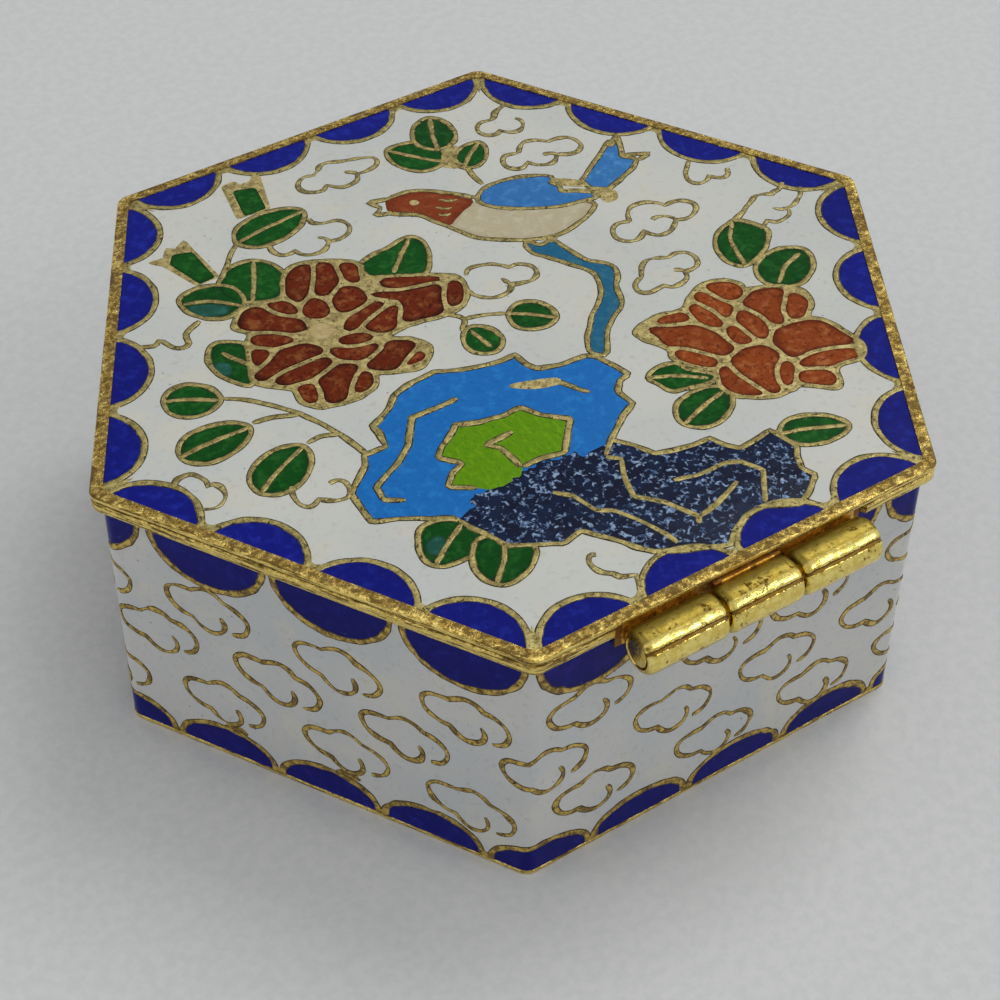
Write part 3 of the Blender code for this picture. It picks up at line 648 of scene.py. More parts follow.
for direction, start, end, left in room["dims"]:  # strength: the sky times what each dimming leaves
    towards = nodes.new("ShaderNodeVectorMath")
    towards.operation = "DOT_PRODUCT"
    towards.inputs[1].default_value = direction
    links.new(way, towards.inputs[0])
    fade = nodes.new("ShaderNodeMapRange")
    fade.interpolation_type = "SMOOTHSTEP"
    for label, value in (("From Min", start), ("From Max", end), ("To Min", 1.0), ("To Max", left)):
        fade.inputs[label].default_value = value
    links.new(towards.outputs["Value"], fade.inputs["Value"])
    share = nodes.new("ShaderNodeMath")
    share.operation = "MULTIPLY"
    share.inputs[1].default_value = room["sky"]
    links.new(fade.outputs[0], share.inputs[0])
    if strength is not None:
        links.new(strength, share.inputs[1])
    strength = share.outputs[0]
nodes["Background"].inputs["Color"].default_value = room["tint"]
links.new(strength, nodes["Background"].inputs["Strength"])
bpy.context.scene.world = world
bpy.context.scene.view_settings.view_transform = "Standard"
for name, values in room["lights"].items():
    aimedLight(name, *values)

ground = room["floor"]
floorLook = Finish("floorPaint", Roughness=0.6)
speckle = floorLook.noise(0.8, 3.0, 0.6)
floorLook.set("Base Color", floorLook.mix(floorLook.step(speckle, 0.35, 0.65), paint(*ground["dark"]),
                                          paint(*ground["pale"])))
floorLook.set("Normal", floorLook.bump(speckle, 0.05))
floor = putMesh("floor", [(x * ground["reach"], y * ground["reach"], ground["level"])
                          for x, y in ((-1, -1), (1, -1), (1, 1), (-1, 1))],
                [np.arange(4)[None]], [floorLook.material])
print("camera, light and floor set")


cup = {
    "thickness": 1.30, "floor": 1.65, "base": 23.45, "fillet": 0.6, "ripple": 0.006, "rows": 34,
    "floorRings": (6.0, 12.0, 18.0), "innerLevels": (18.4, 14.0, 8.0, 3.0),
}


def unevenWall(rings):  # walls a little wavy: pushed in and out by a low ripple
    x, y, z = rings[..., 0], rings[..., 1], rings[..., 2]
    swell = 1 + ripple(x + y, z * 1.4 - y, 3.1, cup["ripple"]) / wall["apothem"]
    return np.stack((x * swell, y * swell, z), axis=-1)


def cupProfile():
    # from the middle of the underside out, up the wall, over its edge, down inside, round a quarter
    # circle at the foot of the wall and back to the middle of the floor
    outer, inner, fillet = wall["apothem"], wall["apothem"] - cup["thickness"], cup["fillet"]
    rows = [(a, 0.0, 1, 0) for a in (0, *cup["floorRings"], cup["base"])]
    rows += [(cup["base"], wall["low"], 1, 0)]
    rows += [(outer, z, 0, 0) for z in np.linspace(wall["low"], wall["top"], cup["rows"])]
    rows[-1] = (outer, wall["top"], 1, 0)
    rows += [(inner, z, 1, 0) for z in (wall["top"], *cup["innerLevels"])]
    rows += [(inner - fillet * (1 - math.cos(t)), cup["floor"] + fillet * (1 - math.sin(t)), 1, 0)
             for t in np.linspace(0.0, math.pi / 2, 5)]
    return rows + [(a, cup["floor"], 1, 0) for a in (*cup["floorRings"][::-1], 0)]


finished(hexSweep("cup", cupProfile(), [finishes["wallWhite"], finishes["counterEnamel"]], False,
                  unevenWall, flat=60, corner=8), "box", "wall_enamel", "body_shell")

plate = {
    "plug": 22.90, "under": span("lid_plate", 2)[0], "soft": 0.25, "ripple": 0.003, "rows": 46,
    "plugRings": (6.0, 12.0, 18.0), "middle": 0.8,
}


def unevenFace(rings):  # the lid's face lifted and sunk by a low ripple; the rest stays
    rings = rings.copy()
    x, y, z = rings[..., 0], rings[..., 1], rings[..., 2]
    rings[..., 2] = np.where(z > lid["face"] - 0.01, z + ripple(x, y, 2.3, plate["ripple"]), z)
    return rings


def plateProfile():
    # from the middle of the plug's underside out, round its softened edge, up, out under the rim,
    # and back to the middle over the face
    plug, under, soft = plate["plug"], plate["under"], plate["soft"]
    rows = [(a, under, 1, 0) for a in (0, *plate["plugRings"])]
    rows += [(plug - soft * (1 - math.sin(t)), under + soft * (1 - math.cos(t)), 1, 0)
             for t in np.linspace(0.0, math.pi / 2, 4)]
    rows += [(plug, lid["under"], 1, 0), (lid["apothem"], lid["under"], 1, 0)]
    rows += [(a, lid["face"], 0, 0) for a in np.linspace(lid["apothem"], plate["middle"], plate["rows"])]
    return rows + [(0, lid["face"], 0, 0)]


finished(hexSweep("lid_panel", plateProfile(), [finishes["lidWhite"], finishes["counterEnamel"]], False,
                  unevenFace, flat=40), "lid", "lid_enamel", "lid_plate")


def softEdged(inner, outer, low, high, soft, steps=4):
    # a strip's section with quarter circles on its two outer edges; the wear mark is 2 on the front,
    # where it paints the gilt bright as a painted highlight, and falls off over the edges
    t = np.linspace(0.0, math.pi / 2, steps)
    x, z, sine, cosine = outer - soft, high - soft, soft * np.sin(t), soft * np.cos(t)
    rows = [(inner, low, 0, 0.0), (x - 0.12, low, 0, 0.1)]
    rows += [(x + a, low + soft - b, 0, 2 * math.sin(v)) for a, b, v in zip(sine, cosine, t)]
    rows += [(x + b, z + a, 0, 2 - math.sin(v)) for a, b, v in zip(sine, cosine, t)]
    return rows + [(x - 0.14, high, 0, 0.35), (0.5 * (inner + outer), high, 0, 0.1), (inner, high, 0, 0.0)]


filing = {
    "ripple": 0.010, "reach": 25.0,
    # the flat cut back for the body leaf of the hinge
    "notchHalf": 8.9, "notchApothem": 24.40,
}


def handFiled(rings):  # outer edges waver by a few hundredths: scaled about the middle by a ripple
    x, y, z = rings[..., 0], rings[..., 1], rings[..., 2]
    swell = 1 - (filing["ripple"] + ripple(x - y, z * 6 + x, 1.3, filing["ripple"])) / filing["reach"]
    return np.stack((x * swell, y * swell, z), axis=-1)


def notched(rings):  # filed, and cut back flat behind the body leaf of the hinge
    rings = handFiled(rings)
    inside = (np.abs(rings[..., 0]) < filing["notchHalf"]) & (rings[..., 1] > filing["notchApothem"])
    rings[..., 1] = np.where(inside, filing["notchApothem"], rings[..., 1])
    return rings


rims = {
    # node, body, section (inner and outer apothem, low and high z, radius of the edges), shift
    "lid_band": ("lid_rim", "lid", (24.25, 25.03, rimLow, rimTop - 0.004, 0.13), handFiled),
    "body_band": ("body_rim", "box", (23.35, 25.00, *span("body_rim", 2), 0.15), notched),
    "foot_band": ("foot_ring", "box", (23.50, 24.45, 0.0, span("foot_ring", 2)[1], 0.07), handFiled),
}
for name, (node, body, section, shift) in rims.items():
    finished(hexSweep(name, softEdged(*section), [finishes["rimGilt"]], True, shift, flat=110, corner=8,
                      sharpFrom=50.0), body, "rim_brass", node)
print("cup, lid plate and rims made")


wallPattern = {
    "wire": 0.33, "cloudWire": 0.25, "top": 0.010, "topStep": 0.002, "gold": 0.018, "stainTop": 0.012,
    # both rows of arches: which way they stand, the edge behind them, their number and sizes
    "upper": {"up": -1, "edge": wall["top"] + 0.05, "count": 20, "phase": 6.95, "half": 3.85,
              "depth": 3.22, "line": 18.35},
    "lower": {"up": 1, "edge": wall["low"] - 0.04, "count": 23, "phase": 7.05, "half": 3.42,
              "depth": 2.0, "line": 0.50},
    # how far an arch's wire runs past the edge; how much the arches differ in place and size
    "tuck": 0.2, "shift": 0.06, "halves": (0.97, 1.02), "depths": (0.95, 1.03),
    # the gold where two arches meet: distances from its middle and from the edge
    "cusp": ((-0.46, 0.0), (-0.54, 0.8), (-0.26, 0.45), (0.0, 0.36), (0.26, 0.45), (0.54, 0.8),
             (0.46, 0.0)),
    # cloud middles: the first ones given one by one, the rest of each row at even steps round the walls
    "rows": (
        ((6.6, 13.1), (15.5, 12.3), (23.9, 12.3), (32.0, 13.4), (41.5, 13.1), (48.3, 13.1), (57.1, 13.2)),
        ((2.8, 9.6), (11.25, 9.0), (19.9, 8.5), (29.1, 9.2), (38.3, 8.9), (46.2, 8.7), (54.2, 8.9)),
        ((7.1, 5.0), (15.7, 5.0), (24.3, 4.3), (32.7, 5.1), (41.8, 4.4), (49.6, 4.4), (57.5, 4.4)),
    ),
    # how far apart they stand, and how much they differ in place, size and turn
    "step": 8.3, "scatter": 0.25, "sizes": (0.95, 1.02), "turns": 3,
    # the curl, then the lobes from below left round to the right end; smooth between cusps
    "cloud": (((0.95, -0.25), (1.2, -0.8), (1.1, -1.4), (0.65, -1.8), (0.05, -1.9), (-0.55, -1.6),
               (-1.05, -1.1)),
              ((-1.75, -1.0), (-2.45, -0.6), (-2.85, 0.0), (-2.9, 0.6), (-2.45, 1.05), (-1.65, 1.2),
               (-1.15, 1.2)),
              ((-0.65, 1.5), (-0.05, 1.75), (0.65, 1.6), (1.15, 1.2)),
              ((1.95, 1.0), (2.65, 0.5), (2.9, -0.1), (2.65, -0.85), (2.15, -1.2), (1.75, -1.3))),
    # brown spots on the white: their outline and their middles
    "stain": ((-0.8, -0.15), (-0.3, 0.35), (0.5, 0.4), (1.0, -0.1), (0.2, -0.3)),
    "stains": ((7.7, 2.75), (15.7, 2.75)),
}
wallWires, wallFills, wallStains = Heap(), Heap(), Heap()
for row in (wallPattern["upper"], wallPattern["lower"]):
    up, edge, pitch = row["up"], row["edge"], perimeter / row["count"]
    for k in range(row["count"]):
        centre = row["phase"] + k * pitch + rng.normal(0, wallPattern["shift"])
        half = row["half"] * rng.uniform(*wallPattern["halves"])
        depth = row["depth"] * rng.uniform(*wallPattern["depths"])
        addArch(wallFills, bow(centre, half, row["line"], up * depth, 65), edge,
                wallPattern["top"] + wallPattern["topStep"] * (k % 3))
        arch = bow(centre, half, row["line"], up * depth, 33)
        arch[[0, -1], 1] = edge - wallPattern["tuck"] * up
        addWire(wallWires, arch, False, wallPattern["wire"], sharp=True, step=0.2, taper=1.0, uneven=1.4)
        cusp = np.array(wallPattern["cusp"]) * (1, up) + (centre + pitch / 2, edge)
        addCell(wallWires, walk(cusp, True, 0.2, True), wallPattern["gold"], tone=0, edge=0.02)
for row in wallPattern["rows"]:
    start, level = row[-1][0], np.mean([place[1] for place in row])
    count = int((perimeter + row[0][0] - start) / wallPattern["step"])
    pitch = (perimeter + row[0][0] - start) / count
    places = list(row) + [(start + k * pitch + rng.normal(0, wallPattern["scatter"]),
                           level + rng.normal(0, wallPattern["scatter"])) for k in range(1, count)]
    for place in places:
        lobes = [np.array(run) * rng.uniform(*wallPattern["sizes"], 2) for run in wallPattern["cloud"]]
        shape = turned(lobed(*lobes), rng.normal(0, wallPattern["turns"])) + place
        addWire(wallWires, shape, False, wallPattern["cloudWire"], along=True, uneven=1.9)
for place in wallPattern["stains"]:
    addCell(wallStains, walk(np.array(wallPattern["stain"]) + place, True, 0.2), wallPattern["stainTop"],
            tone=0.5)
wallFills.put("wall_cobalt", finishes["wallCobaltGlaze"], onWall, "box", "wall_enamel")
wallStains.put("wall_stains", finishes["rimGilt"], onWall, "box", "wall_enamel")
wallWires.put("wall_wires", finishes["wallWire"], onWall, "box", "wall_enamel")
print("wall pattern made")


border = {
    "pitch": 7.0, "half": 3.16, "depth": 2.24, "rim": 24.22, "wire": 0.32, "top": 0.010,
    "topStep": 0.002, "gold": 0.020, "wedgeTop": 0.029,
    # how far an arch's wire runs aside and in under the rim; how much the arches differ
    "tuck": (0.10, 0.3), "shift": 0.06, "halves": (0.98, 1.02), "depths": (0.96, 1.03),
    # the gold where two arches meet: distances from its middle and from the rim
    "cusp": ((-0.50, 0.1), (-0.54, -0.80), (-0.27, -0.50), (0, -0.40), (0.27, -0.50), (0.54, -0.80),
             (0.50, 0.1)),
    # the gold wedge in a corner: distances inwards from the corner and to its side
    "wedge": ((0.1, 0.5), (0.7, 0.28), (1.3, 0.16), (2.0, 0.0), (1.3, -0.16), (0.7, -0.28), (0.1, -0.5)),
}
lidWires, borderFills = Heap(), Heap()
for side in range(6):
    lidWires.turn = borderFills.turn = 60.0 * side + 30.0
    for k in (-1.5, -0.5, 0.5, 1.5):
        centre = k * border["pitch"] + rng.normal(0, border["shift"])
        half = border["half"] * rng.uniform(*border["halves"])
        depth = border["depth"] * rng.uniform(*border["depths"])
        arch = bow(centre, half, border["rim"], -depth, 33, round=True)
        addArch(borderFills, arch, border["rim"] + 0.02,
                border["top"] + border["topStep"] * ((side + int(k + 2)) % 4))
        aside, past = border["tuck"]
        under = ((arch[0, 0] - aside, border["rim"] + past), (arch[-1, 0] + aside, border["rim"] + past))
        arch = np.vstack((under[:1], arch, under[1:]))
        addWire(lidWires, arch, False, border["wire"], sharp=True, taper=1.0)
    for k in (-1, 0, 1):
        cusp = np.array(border["cusp"]) + (k * border["pitch"], border["rim"])
        addCell(lidWires, walk(cusp, True, 0.15, True), border["gold"], tone=0, edge=0.02)
    corner = np.array((border["rim"] * math.tan(math.pi / 6), border["rim"]))
    inwards, sidewise = np.array((-0.5, -hexCosine)), np.array((hexCosine, -0.5))
    wedge = [corner + inwards * a + sidewise * b for a, b in border["wedge"]]
    addCell(lidWires, walk(wedge, True, 0.15, True), border["wedgeTop"], tone=0, edge=0.02)
lidWires.turn = 0.0


# each glaze of the lid's picture and the piece that it makes
lidPieces = {
    "leafGlaze": "leaves", "tealGlaze": "teal_patches", "peonyGlaze": "peony_petals",
    "blossomGlaze": "blossom_petals", "stamenGlaze": "peony_middle", "headGlaze": "bird_head",
    "wingGlaze": "bird_wing_tail", "bellyGlaze": "bird_belly", "branchGlaze": "branch",
    "rockGlaze": "blue_rock", "limeGlaze": "rock_hole", "graniteGlaze": "dark_rock",
    "cobaltGlaze": "lid_cobalt",
}
fills = {glaze: Heap() for glaze in lidPieces}
fills["cobaltGlaze"] = borderFills
goldBeds, cloudWires = Heap(), Heap()
picture = {
    # widths of the wires and of the gold between petals, steps along outlines and petals
    "wire": 0.33, "thin": 0.29, "fine": 0.26, "goldLine": 0.32, "step": 0.26, "petalStep": 0.16,
    # how far a wire lies outside its fill's coloured area, and a petal inside its flower's edge
    "inset": 0.21, "margin": 0.20,
    # how far a petal may be drawn in or grown, and how many rounds smooth that
    "growth": (-0.1, 0.9), "rounds": 4,
    # heights over the white enamel: flowers, rocks, leaves and bird; next to each other they differ
    "bed": 0.024, "petal": 0.030, "blueRock": 0.007, "hole": 0.011, "darkRock": 0.017, "lens": 0.026,
    "leaf": 0.008, "leafStep": 0.0015, "teal": 0.021, "podBed": 0.023, "pod": 0.028, "head": 0.012,
    "belly": 0.009, "birdGold": 0.027, "eye": 0.020,
}


def fill(glaze, outline, top=0.010, fan=True, rim=0.17, sharp=False, wired=True):
    # a fill given by its coloured area, spread under the wire that is laid round it
    line = walk(outline, True, picture["step"], sharp)
    addCell(fills[glaze], grown(line, rim), top, None, fan)
    if wired:
        addWire(lidWires, grown(line, picture["inset"]), True, picture["thin"], along=True)


def lines(*paths, width=picture["wire"], sharp=False):  # open wires, one to a path
    for path in paths:
        addWire(lidWires, path, False, width, sharp)


def shown(line, hiders, closed):
    # the runs of a line that stay outside all the hiding outlines, as open lines
    if closed:
        line = np.vstack((line, line[:1]))
    seen = np.ones(len(line), bool)
    for hider in hiders:
        seen &= ~within(line, hider)
    if closed and not seen.all() and seen[0]:  # start where the line is hidden, so that no run is split
        first = int(np.argmin(seen))
        line, seen = np.roll(line[:-1], -first, axis=0), np.roll(seen[:-1], -first)
    breaks = np.flatnonzero(np.diff(seen.astype(int))) + 1
    runs = zip(np.split(line, breaks), np.split(seen, breaks))
    return [run for run, kept in runs if kept[0] and len(run) > 2]


def leafShape(x, y, length, width, turn, count=40):
    # an oval with soft points: length * cos t, width * sin t * (1 - 0.14 cos t) * (1 - 0.22 cos^6 t)
    t = np.linspace(0, 2 * math.pi, count, endpoint=False)
    across = np.sin(t) * (1 - 0.14 * np.cos(t)) * (1 - 0.22 * np.cos(t) ** 6)
    return turned(np.stack((length * np.cos(t), width * across), axis=1), turn) + (x, y)


peony = {
    "outline": ((-16.9, 1), (-16.5, 2.3), (-15.4, 2.8), (-14, 3.4), (-13.9, 5.5), (-13, 6.8), (-11, 7.1),
                (-9.6, 7), (-8.8, 6.4), (-8.7, 5.2), (-7, 5.3), (-4.5, 5.3), (-2.7, 5.1), (-2.1, 4),
                (-2.2, 2.4), (-3, 1.4), (-4, 0.9), (-5.5, 0.4), (-6.5, -0.2), (-7.2, -0.9), (-5.8, -1.1),
                (-4.7, -1.8), (-4.7, -2.9), (-5.4, -4), (-7, -4.3), (-8, -4.4), (-8.1, -5.5), (-9.2, -6.6),
                (-11.2, -7.3), (-12.6, -6.9), (-13.2, -5.6), (-14.9, -5.2), (-15.7, -4.6), (-15.9, -3),
                (-16.1, -1.2), (-16, -0.2), (-16.9, 0.4)),
    "petals": (
        ((-13.4, 4.6), (-13, 6.3), (-12.2, 6.6), (-12, 5.5), (-12.3, 4), (-12.8, 3), (-13.4, 3.6)),
        ((-11.7, 6.6), (-10.9, 6.6), (-10.4, 5.2), (-10.9, 3.8), (-11.6, 3.6), (-11.8, 4.5)),
        ((-10.1, 6.5), (-9.3, 6.6), (-8.9, 5.6), (-9.1, 4.9), (-9.8, 5.3)),
        ((-10, 4.1), (-9.3, 4), (-8.6, 3.1), (-9.2, 2.3), (-10.1, 2), (-10.5, 2.8), (-10.3, 3.7)),
        ((-12, 3.1), (-11.4, 2.8), (-11.1, 2), (-11.4, 1.3), (-12.1, 1.4), (-12.5, 2)),
        ((-14.9, 2.9), (-14.1, 3), (-13.4, 2.6), (-13, 1.9), (-13.6, 1.8), (-14.4, 2.2)),
        ((-16.5, 1.3), (-15.9, 2.3), (-15.2, 2.3), (-14.4, 1.6), (-13.2, 1.1), (-12.5, 0.7), (-12.3, 0),
         (-14.3, 0.1), (-15.6, 0.3), (-16.4, 0.7)),
        ((-15.9, -0.6), (-14.6, -0.3), (-13.3, -0.9), (-14.3, -1.4), (-15.4, -1.2)),
        ((-15.6, -1.9), (-14.8, -1.9), (-14.8, -2.6), (-15.4, -3.2)),
        ((-13.6, -1.7), (-12.2, -1.5), (-11.5, -2.1), (-12.5, -2.8), (-13.7, -3.5), (-14.9, -4.4),
         (-15.3, -4.2), (-14.9, -3.3), (-14.3, -2.4)),
        ((-11.3, -2.8), (-10.9, -3.3), (-11.9, -4.4), (-13.2, -4.9), (-14.1, -4.8), (-13.7, -4.2),
         (-12.6, -3.5)),
        ((-10.3, -3.5), (-9.3, -3.6), (-9.5, -4.6), (-9.9, -5.8), (-10.3, -6.6), (-10.9, -6.7),
         (-11.2, -5.9), (-11.6, -5), (-11.2, -4.3)),
        ((-12.8, -5.5), (-12, -5.2), (-11.8, -5.9), (-12, -6.7), (-12.6, -6.2)),
        ((-8.9, -4.2), (-8.4, -4.4), (-8.4, -5.2), (-9.2, -5.9), (-9.3, -5.2)),
        ((-10.1, -1), (-9.1, -0.6), (-8.3, -0.8), (-8.9, -1.3), (-9.9, -1.3)),
        ((-10.7, -2), (-9.5, -2), (-8, -1.6), (-8.4, -2.5), (-9.2, -2.9), (-10.2, -2.7)),
        ((-7.1, -1.5), (-5.8, -1.6), (-6, -2.6), (-6.6, -3.6), (-7.6, -4), (-8.5, -3.7), (-8.1, -2.9),
         (-7.5, -2.1)),
        ((-5.4, -2.5), (-5.2, -2.9), (-6, -3.6), (-6.1, -3.3)),
        ((-8.5, 0.2), (-7.6, 1.3), (-6.7, 2.1), (-6.7, 1.1), (-7, 0.2), (-7.8, -0.2)),
        ((-9.8, 0.1), (-9.2, 1.2), (-8.1, 2.3), (-7.6, 2.4), (-8.4, 1.5), (-9.2, 0.3)),
        ((-8.1, 3.4), (-6.6, 3.4), (-5, 3.9), (-3.9, 4.1), (-3.8, 2.8), (-4, 1.2), (-5, 0.8), (-6.1, 0.8),
         (-6.1, 1.8), (-6.3, 2.9), (-7, 3.2)),
        ((-7.3, 4.6), (-6.4, 4.9), (-5, 5), (-3.8, 4.8), (-5.2, 4.4), (-6.6, 4.2)),
        ((-2.9, 4.3), (-2.5, 3.8), (-2.6, 2.6), (-3.1, 2.2), (-3.3, 3.2)),
    ),
    "stamens": (-11.4, -0.1, 0.85),
    "glaze": "peonyGlaze",
}
blossom = {
    "outline": ((13.2, 3.4), (14.6, 3.8), (15.6, 3.4), (16, 2.8), (17.4, 3), (18.5, 3), (19.6, 2.5),
                (20, 1.2), (19.6, -0.2), (20.6, -0.6), (22, -2.2), (22.6, -3.2), (22.2, -4.4), (20.6, -5.2),
                (20.4, -7.1), (18.2, -6.8), (17.4, -7.2), (16, -7.8), (14, -7.6), (13, -6.6), (12.9, -5.2),
                (11.8, -4.8), (10.4, -3.9), (10.2, -2.9), (8.7, -1.9), (8.4, -1), (9.8, 0.3), (11.6, 0.9),
                (12.1, 2)),
    "petals": (
        ((13.6, 3.2), (14.4, 3.3), (15.2, 3.1), (15.5, 2.6), (15.2, 2), (14.5, 1.8), (14, 2.4)),
        ((12.9, 2.4), (13.6, 2), (14.4, 1.4), (14.7, 0.9), (14.3, 0.1), (13.7, 1), (12.7, 1.8)),
        ((12.5, 1.3), (12.9, 0.8), (13.5, 0.2), (13.8, -0.7), (13, -0.5), (12.4, 0.2), (12.2, 0.9)),
        ((11.4, 0.5), (11.8, 0), (10.9, -0.2), (10, -0.3), (10.6, 0.2)),
        ((9.5, -1), (11, -1), (12.3, -1), (13.2, -1.7), (14.3, -2.9), (13.8, -3.6), (12.6, -3.3),
         (11.2, -2.7), (10.4, -2.4), (10.2, -1.7)),
        ((10.8, -3.3), (11.4, -3.2), (12.3, -3.6), (13, -4.2), (12.8, -4.7), (11.9, -4.4), (11.2, -4)),
        ((14.4, -1.2), (14.8, -1.2), (15.5, -2.3), (14.9, -2.6), (14.4, -2.2)),
        ((15.3, 0.4), (15.8, 0.2), (16.4, -0.6), (16.6, -1.6), (16.3, -2.1), (15.7, -1.6), (15.3, -0.8),
         (15.1, -0.2)),
        ((15.8, 1.4), (16.6, 2.3), (17.4, 2.6), (18.2, 2.5), (18.1, 1.5), (17.8, 0.5), (17.8, -0.6),
         (17.3, -0.6), (16.8, 0.2), (16.1, 0.9)),
        ((18.7, 2), (19.1, 1.9), (19.4, 1), (19.1, 0), (18.5, -0.2), (18.3, 0.6), (18.5, 1.5)),
        ((17.4, -1.6), (18.4, -1), (19.6, -0.8), (20.6, -1.2), (21.4, -2), (21.9, -2.7), (20.5, -3),
         (19, -3.4), (18, -3.9), (17.4, -3.4), (17.1, -2.7)),
        ((18.4, -4.8), (19.5, -4), (20.8, -3.7), (21.9, -3.8), (21.8, -4.3), (20.5, -4.8), (19.2, -5)),
        ((14.2, -4.1), (15, -3.3), (16, -3.1), (16.8, -3.4), (17, -4), (16.6, -5), (16.4, -6.2),
         (16.5, -7.1), (16, -7.2), (15, -6.1), (14.4, -5.1)),
        ((13.6, -4.9), (14, -5.6), (14.9, -6.6), (15.5, -7.4), (14.6, -7.4), (13.6, -6.9), (13.2, -6),
         (13.2, -5.3)),
        ((17.5, -4.6), (17.8, -5.4), (17.6, -6.2), (17.2, -6.6), (17, -5.8), (17.1, -5)),
        ((18.2, -5.6), (19.8, -5.6), (19.8, -6.6), (18.2, -6.4)),
    ),
    "stamens": None,
    "glaze": "blossomGlaze",
}


def addBloom(bloom):
    # petals on a bed of gold, each grown or drawn in so that one even gold line parts it from the next:
    # by half of (distance to its nearest neighbour - line), never past the flower's own edge, and
    # smoothed along the petal
    outline = walk(bloom["outline"], True, 0.2)
    addCell(goldBeds, outline, picture["bed"], tone=0)
    addWire(lidWires, outline, True, picture["fine"], along=True)
    petals = [walk(petal, True, picture["petalStep"]) for petal in bloom["petals"]]
    discs = []
    if bloom["stamens"]:
        x, y, radius = bloom["stamens"]
        discs = [leafShape(x, y, radius, radius, 0, 28)]
        addCell(fills["stamenGlaze"], discs[0], picture["petal"], fan=True)
    for k, petal in enumerate(petals):
        gap = (apart(petal, np.vstack(petals[:k] + petals[k + 1:] + discs)) - picture["goldLine"]) / 2
        gap = np.minimum(np.clip(gap, *picture["growth"]), apart(petal, outline) - picture["margin"])
        for _ in range(picture["rounds"]):
            gap = (np.roll(gap, 1) + 2 * gap + np.roll(gap, -1)) / 4
        addCell(fills[bloom["glaze"]], grown(petal, gap), picture["petal"], fan=True)


rocks = {
    # the loose edges have no wire
    "blueEdge": ((-3.6, -17.4), (-5, -17.3), (-7, -17.2), (-8.6, -17.4), (-9, -16.6), (-9.8, -15),
                 (-9.4, -14), (-8.9, -12.6), (-8.9, -11.7), (-7.6, -11), (-8, -9.8), (-8.4, -9.2),
                 (-7.9, -8.5), (-7.4, -7.7), (-7, -6.4), (-6.2, -5.6), (-5.4, -5), (-4.6, -4.4), (-3, -4.3),
                 (-1.2, -3.9), (-0.2, -3.5), (0.6, -3), (1.2, -3.9), (1.9, -4.4), (3.4, -4.1), (5, -3.3),
                 (5.6, -3.4), (6.8, -4.4), (7.5, -5.2), (6.9, -5.8), (6.7, -6.8), (7.5, -7.9), (6.8, -9),
                 (6.2, -10.4), (5.8, -11.2), (5.4, -12.5)),
    "looseEdge": ((4.4, -12.2), (3.2, -12.3), (1.6, -12.8), (0.5, -13.4), (-0.1, -14.2), (-0.9, -15.0),
                  (-2.6, -15.3), (-2.9, -16.6)),
    "under": (0.5, -0.6), "step": 0.3, "crumb": 0.16,
    "darkEdge": ((5.8, -11.3), (6, -11.2), (7.2, -11.7), (8.3, -12.5), (9.4, -12.3), (10.6, -11.9),
                 (11.8, -11.3), (12.6, -11.9), (13.5, -12.3), (14.5, -11.6), (15.5, -10.8), (16.9, -12.2),
                 (16.8, -13.2), (16.9, -14.2), (17.6, -14.8), (17.1, -16), (16.4, -17.2), (14.2, -17.2),
                 (13, -18), (12.2, -19.2), (11.8, -20.3), (9, -20.6), (7.4, -20.6), (6.4, -20.2),
                 (5.4, -19.6), (4, -19), (3.4, -18.7), (2.3, -19.7), (0, -19.7), (-1, -19.7), (-1.8, -18.9),
                 (-3, -18.1), (-3.6, -17.5)),
    "limeEdge": ((0.4, -13.2), (1.6, -12.5), (3, -12.1), (3.3, -10.4), (3.6, -9.1), (1.8, -8.7),
                 (0.6, -7.9), (-0.4, -8.6), (-2, -9.2), (-3.4, -9.3), (-3.6, -9.9), (-4.3, -11.2),
                 (-4.6, -12.2), (-3.1, -12.7), (-3.8, -13.6), (-4.1, -14.7), (-2.4, -14.9)),
    "limeLoose": ((-0.9, -15.3), (0.3, -14.6)),
    "lens": ((0.2, -6.1), (1.6, -6.3), (3, -6.0), (3.3, -5.7), (2.9, -5.3), (0.4, -5.7)),
    "cracks": (
        ((-3.2, -6.9), (-4.4, -7.7), (-6, -8.5), (-6.1, -9.4), (-6.3, -11), (-6.9, -12.4), (-8.3, -14.5),
         (-7.9, -15.6), (-6.6, -15.7)),
        ((3.0, -5.6), (3.8, -6.1), (4.4, -6.5), (5, -6.7)),
        ((0, -10.1), (-0.9, -10.7), (-1.7, -11.2), (-0.8, -11.5), (-0.2, -12.3), (0.3, -13.2)),
        ((2, -15.5), (3.1, -15.8), (4.4, -17.1), (5.5, -17.2), (7, -18.2), (8.4, -19.4), (8.8, -20)),
        ((5.4, -12.6), (6.3, -12.8), (6.3, -14.4), (6.7, -16.1), (8.4, -16.6), (10.3, -17.9),
         (10.2, -18.5)),
        ((12.9, -15.1), (11.6, -16.8), (10.4, -17.9)),
        ((9.2, -14.8), (10.8, -14.4), (12.4, -13.5), (13.3, -13.4), (14.6, -14.2), (14.3, -16.9)),
    ),
}


def crumbled(edge):  # a loose edge: small irregular steps to either side of it
    line = walk(edge, False, 0.10, True)
    return line + sideways(line, False) * wobble(len(line), False, rocks["crumb"], 0.4)[:, None]


def straightRun(edge):  # even steps along the straight runs between an edge's points
    return walk(edge, False, rocks["step"], True)


under = np.array(rocks["looseEdge"]) + rocks["under"]  # the blue runs on a little below the dark rock
blue = np.vstack((straightRun(rocks["blueEdge"]), straightRun(under)))
lime = np.vstack((straightRun(rocks["limeEdge"]), straightRun(rocks["limeLoose"])))
dark = np.vstack((straightRun(rocks["darkEdge"]), crumbled(rocks["looseEdge"][::-1])))

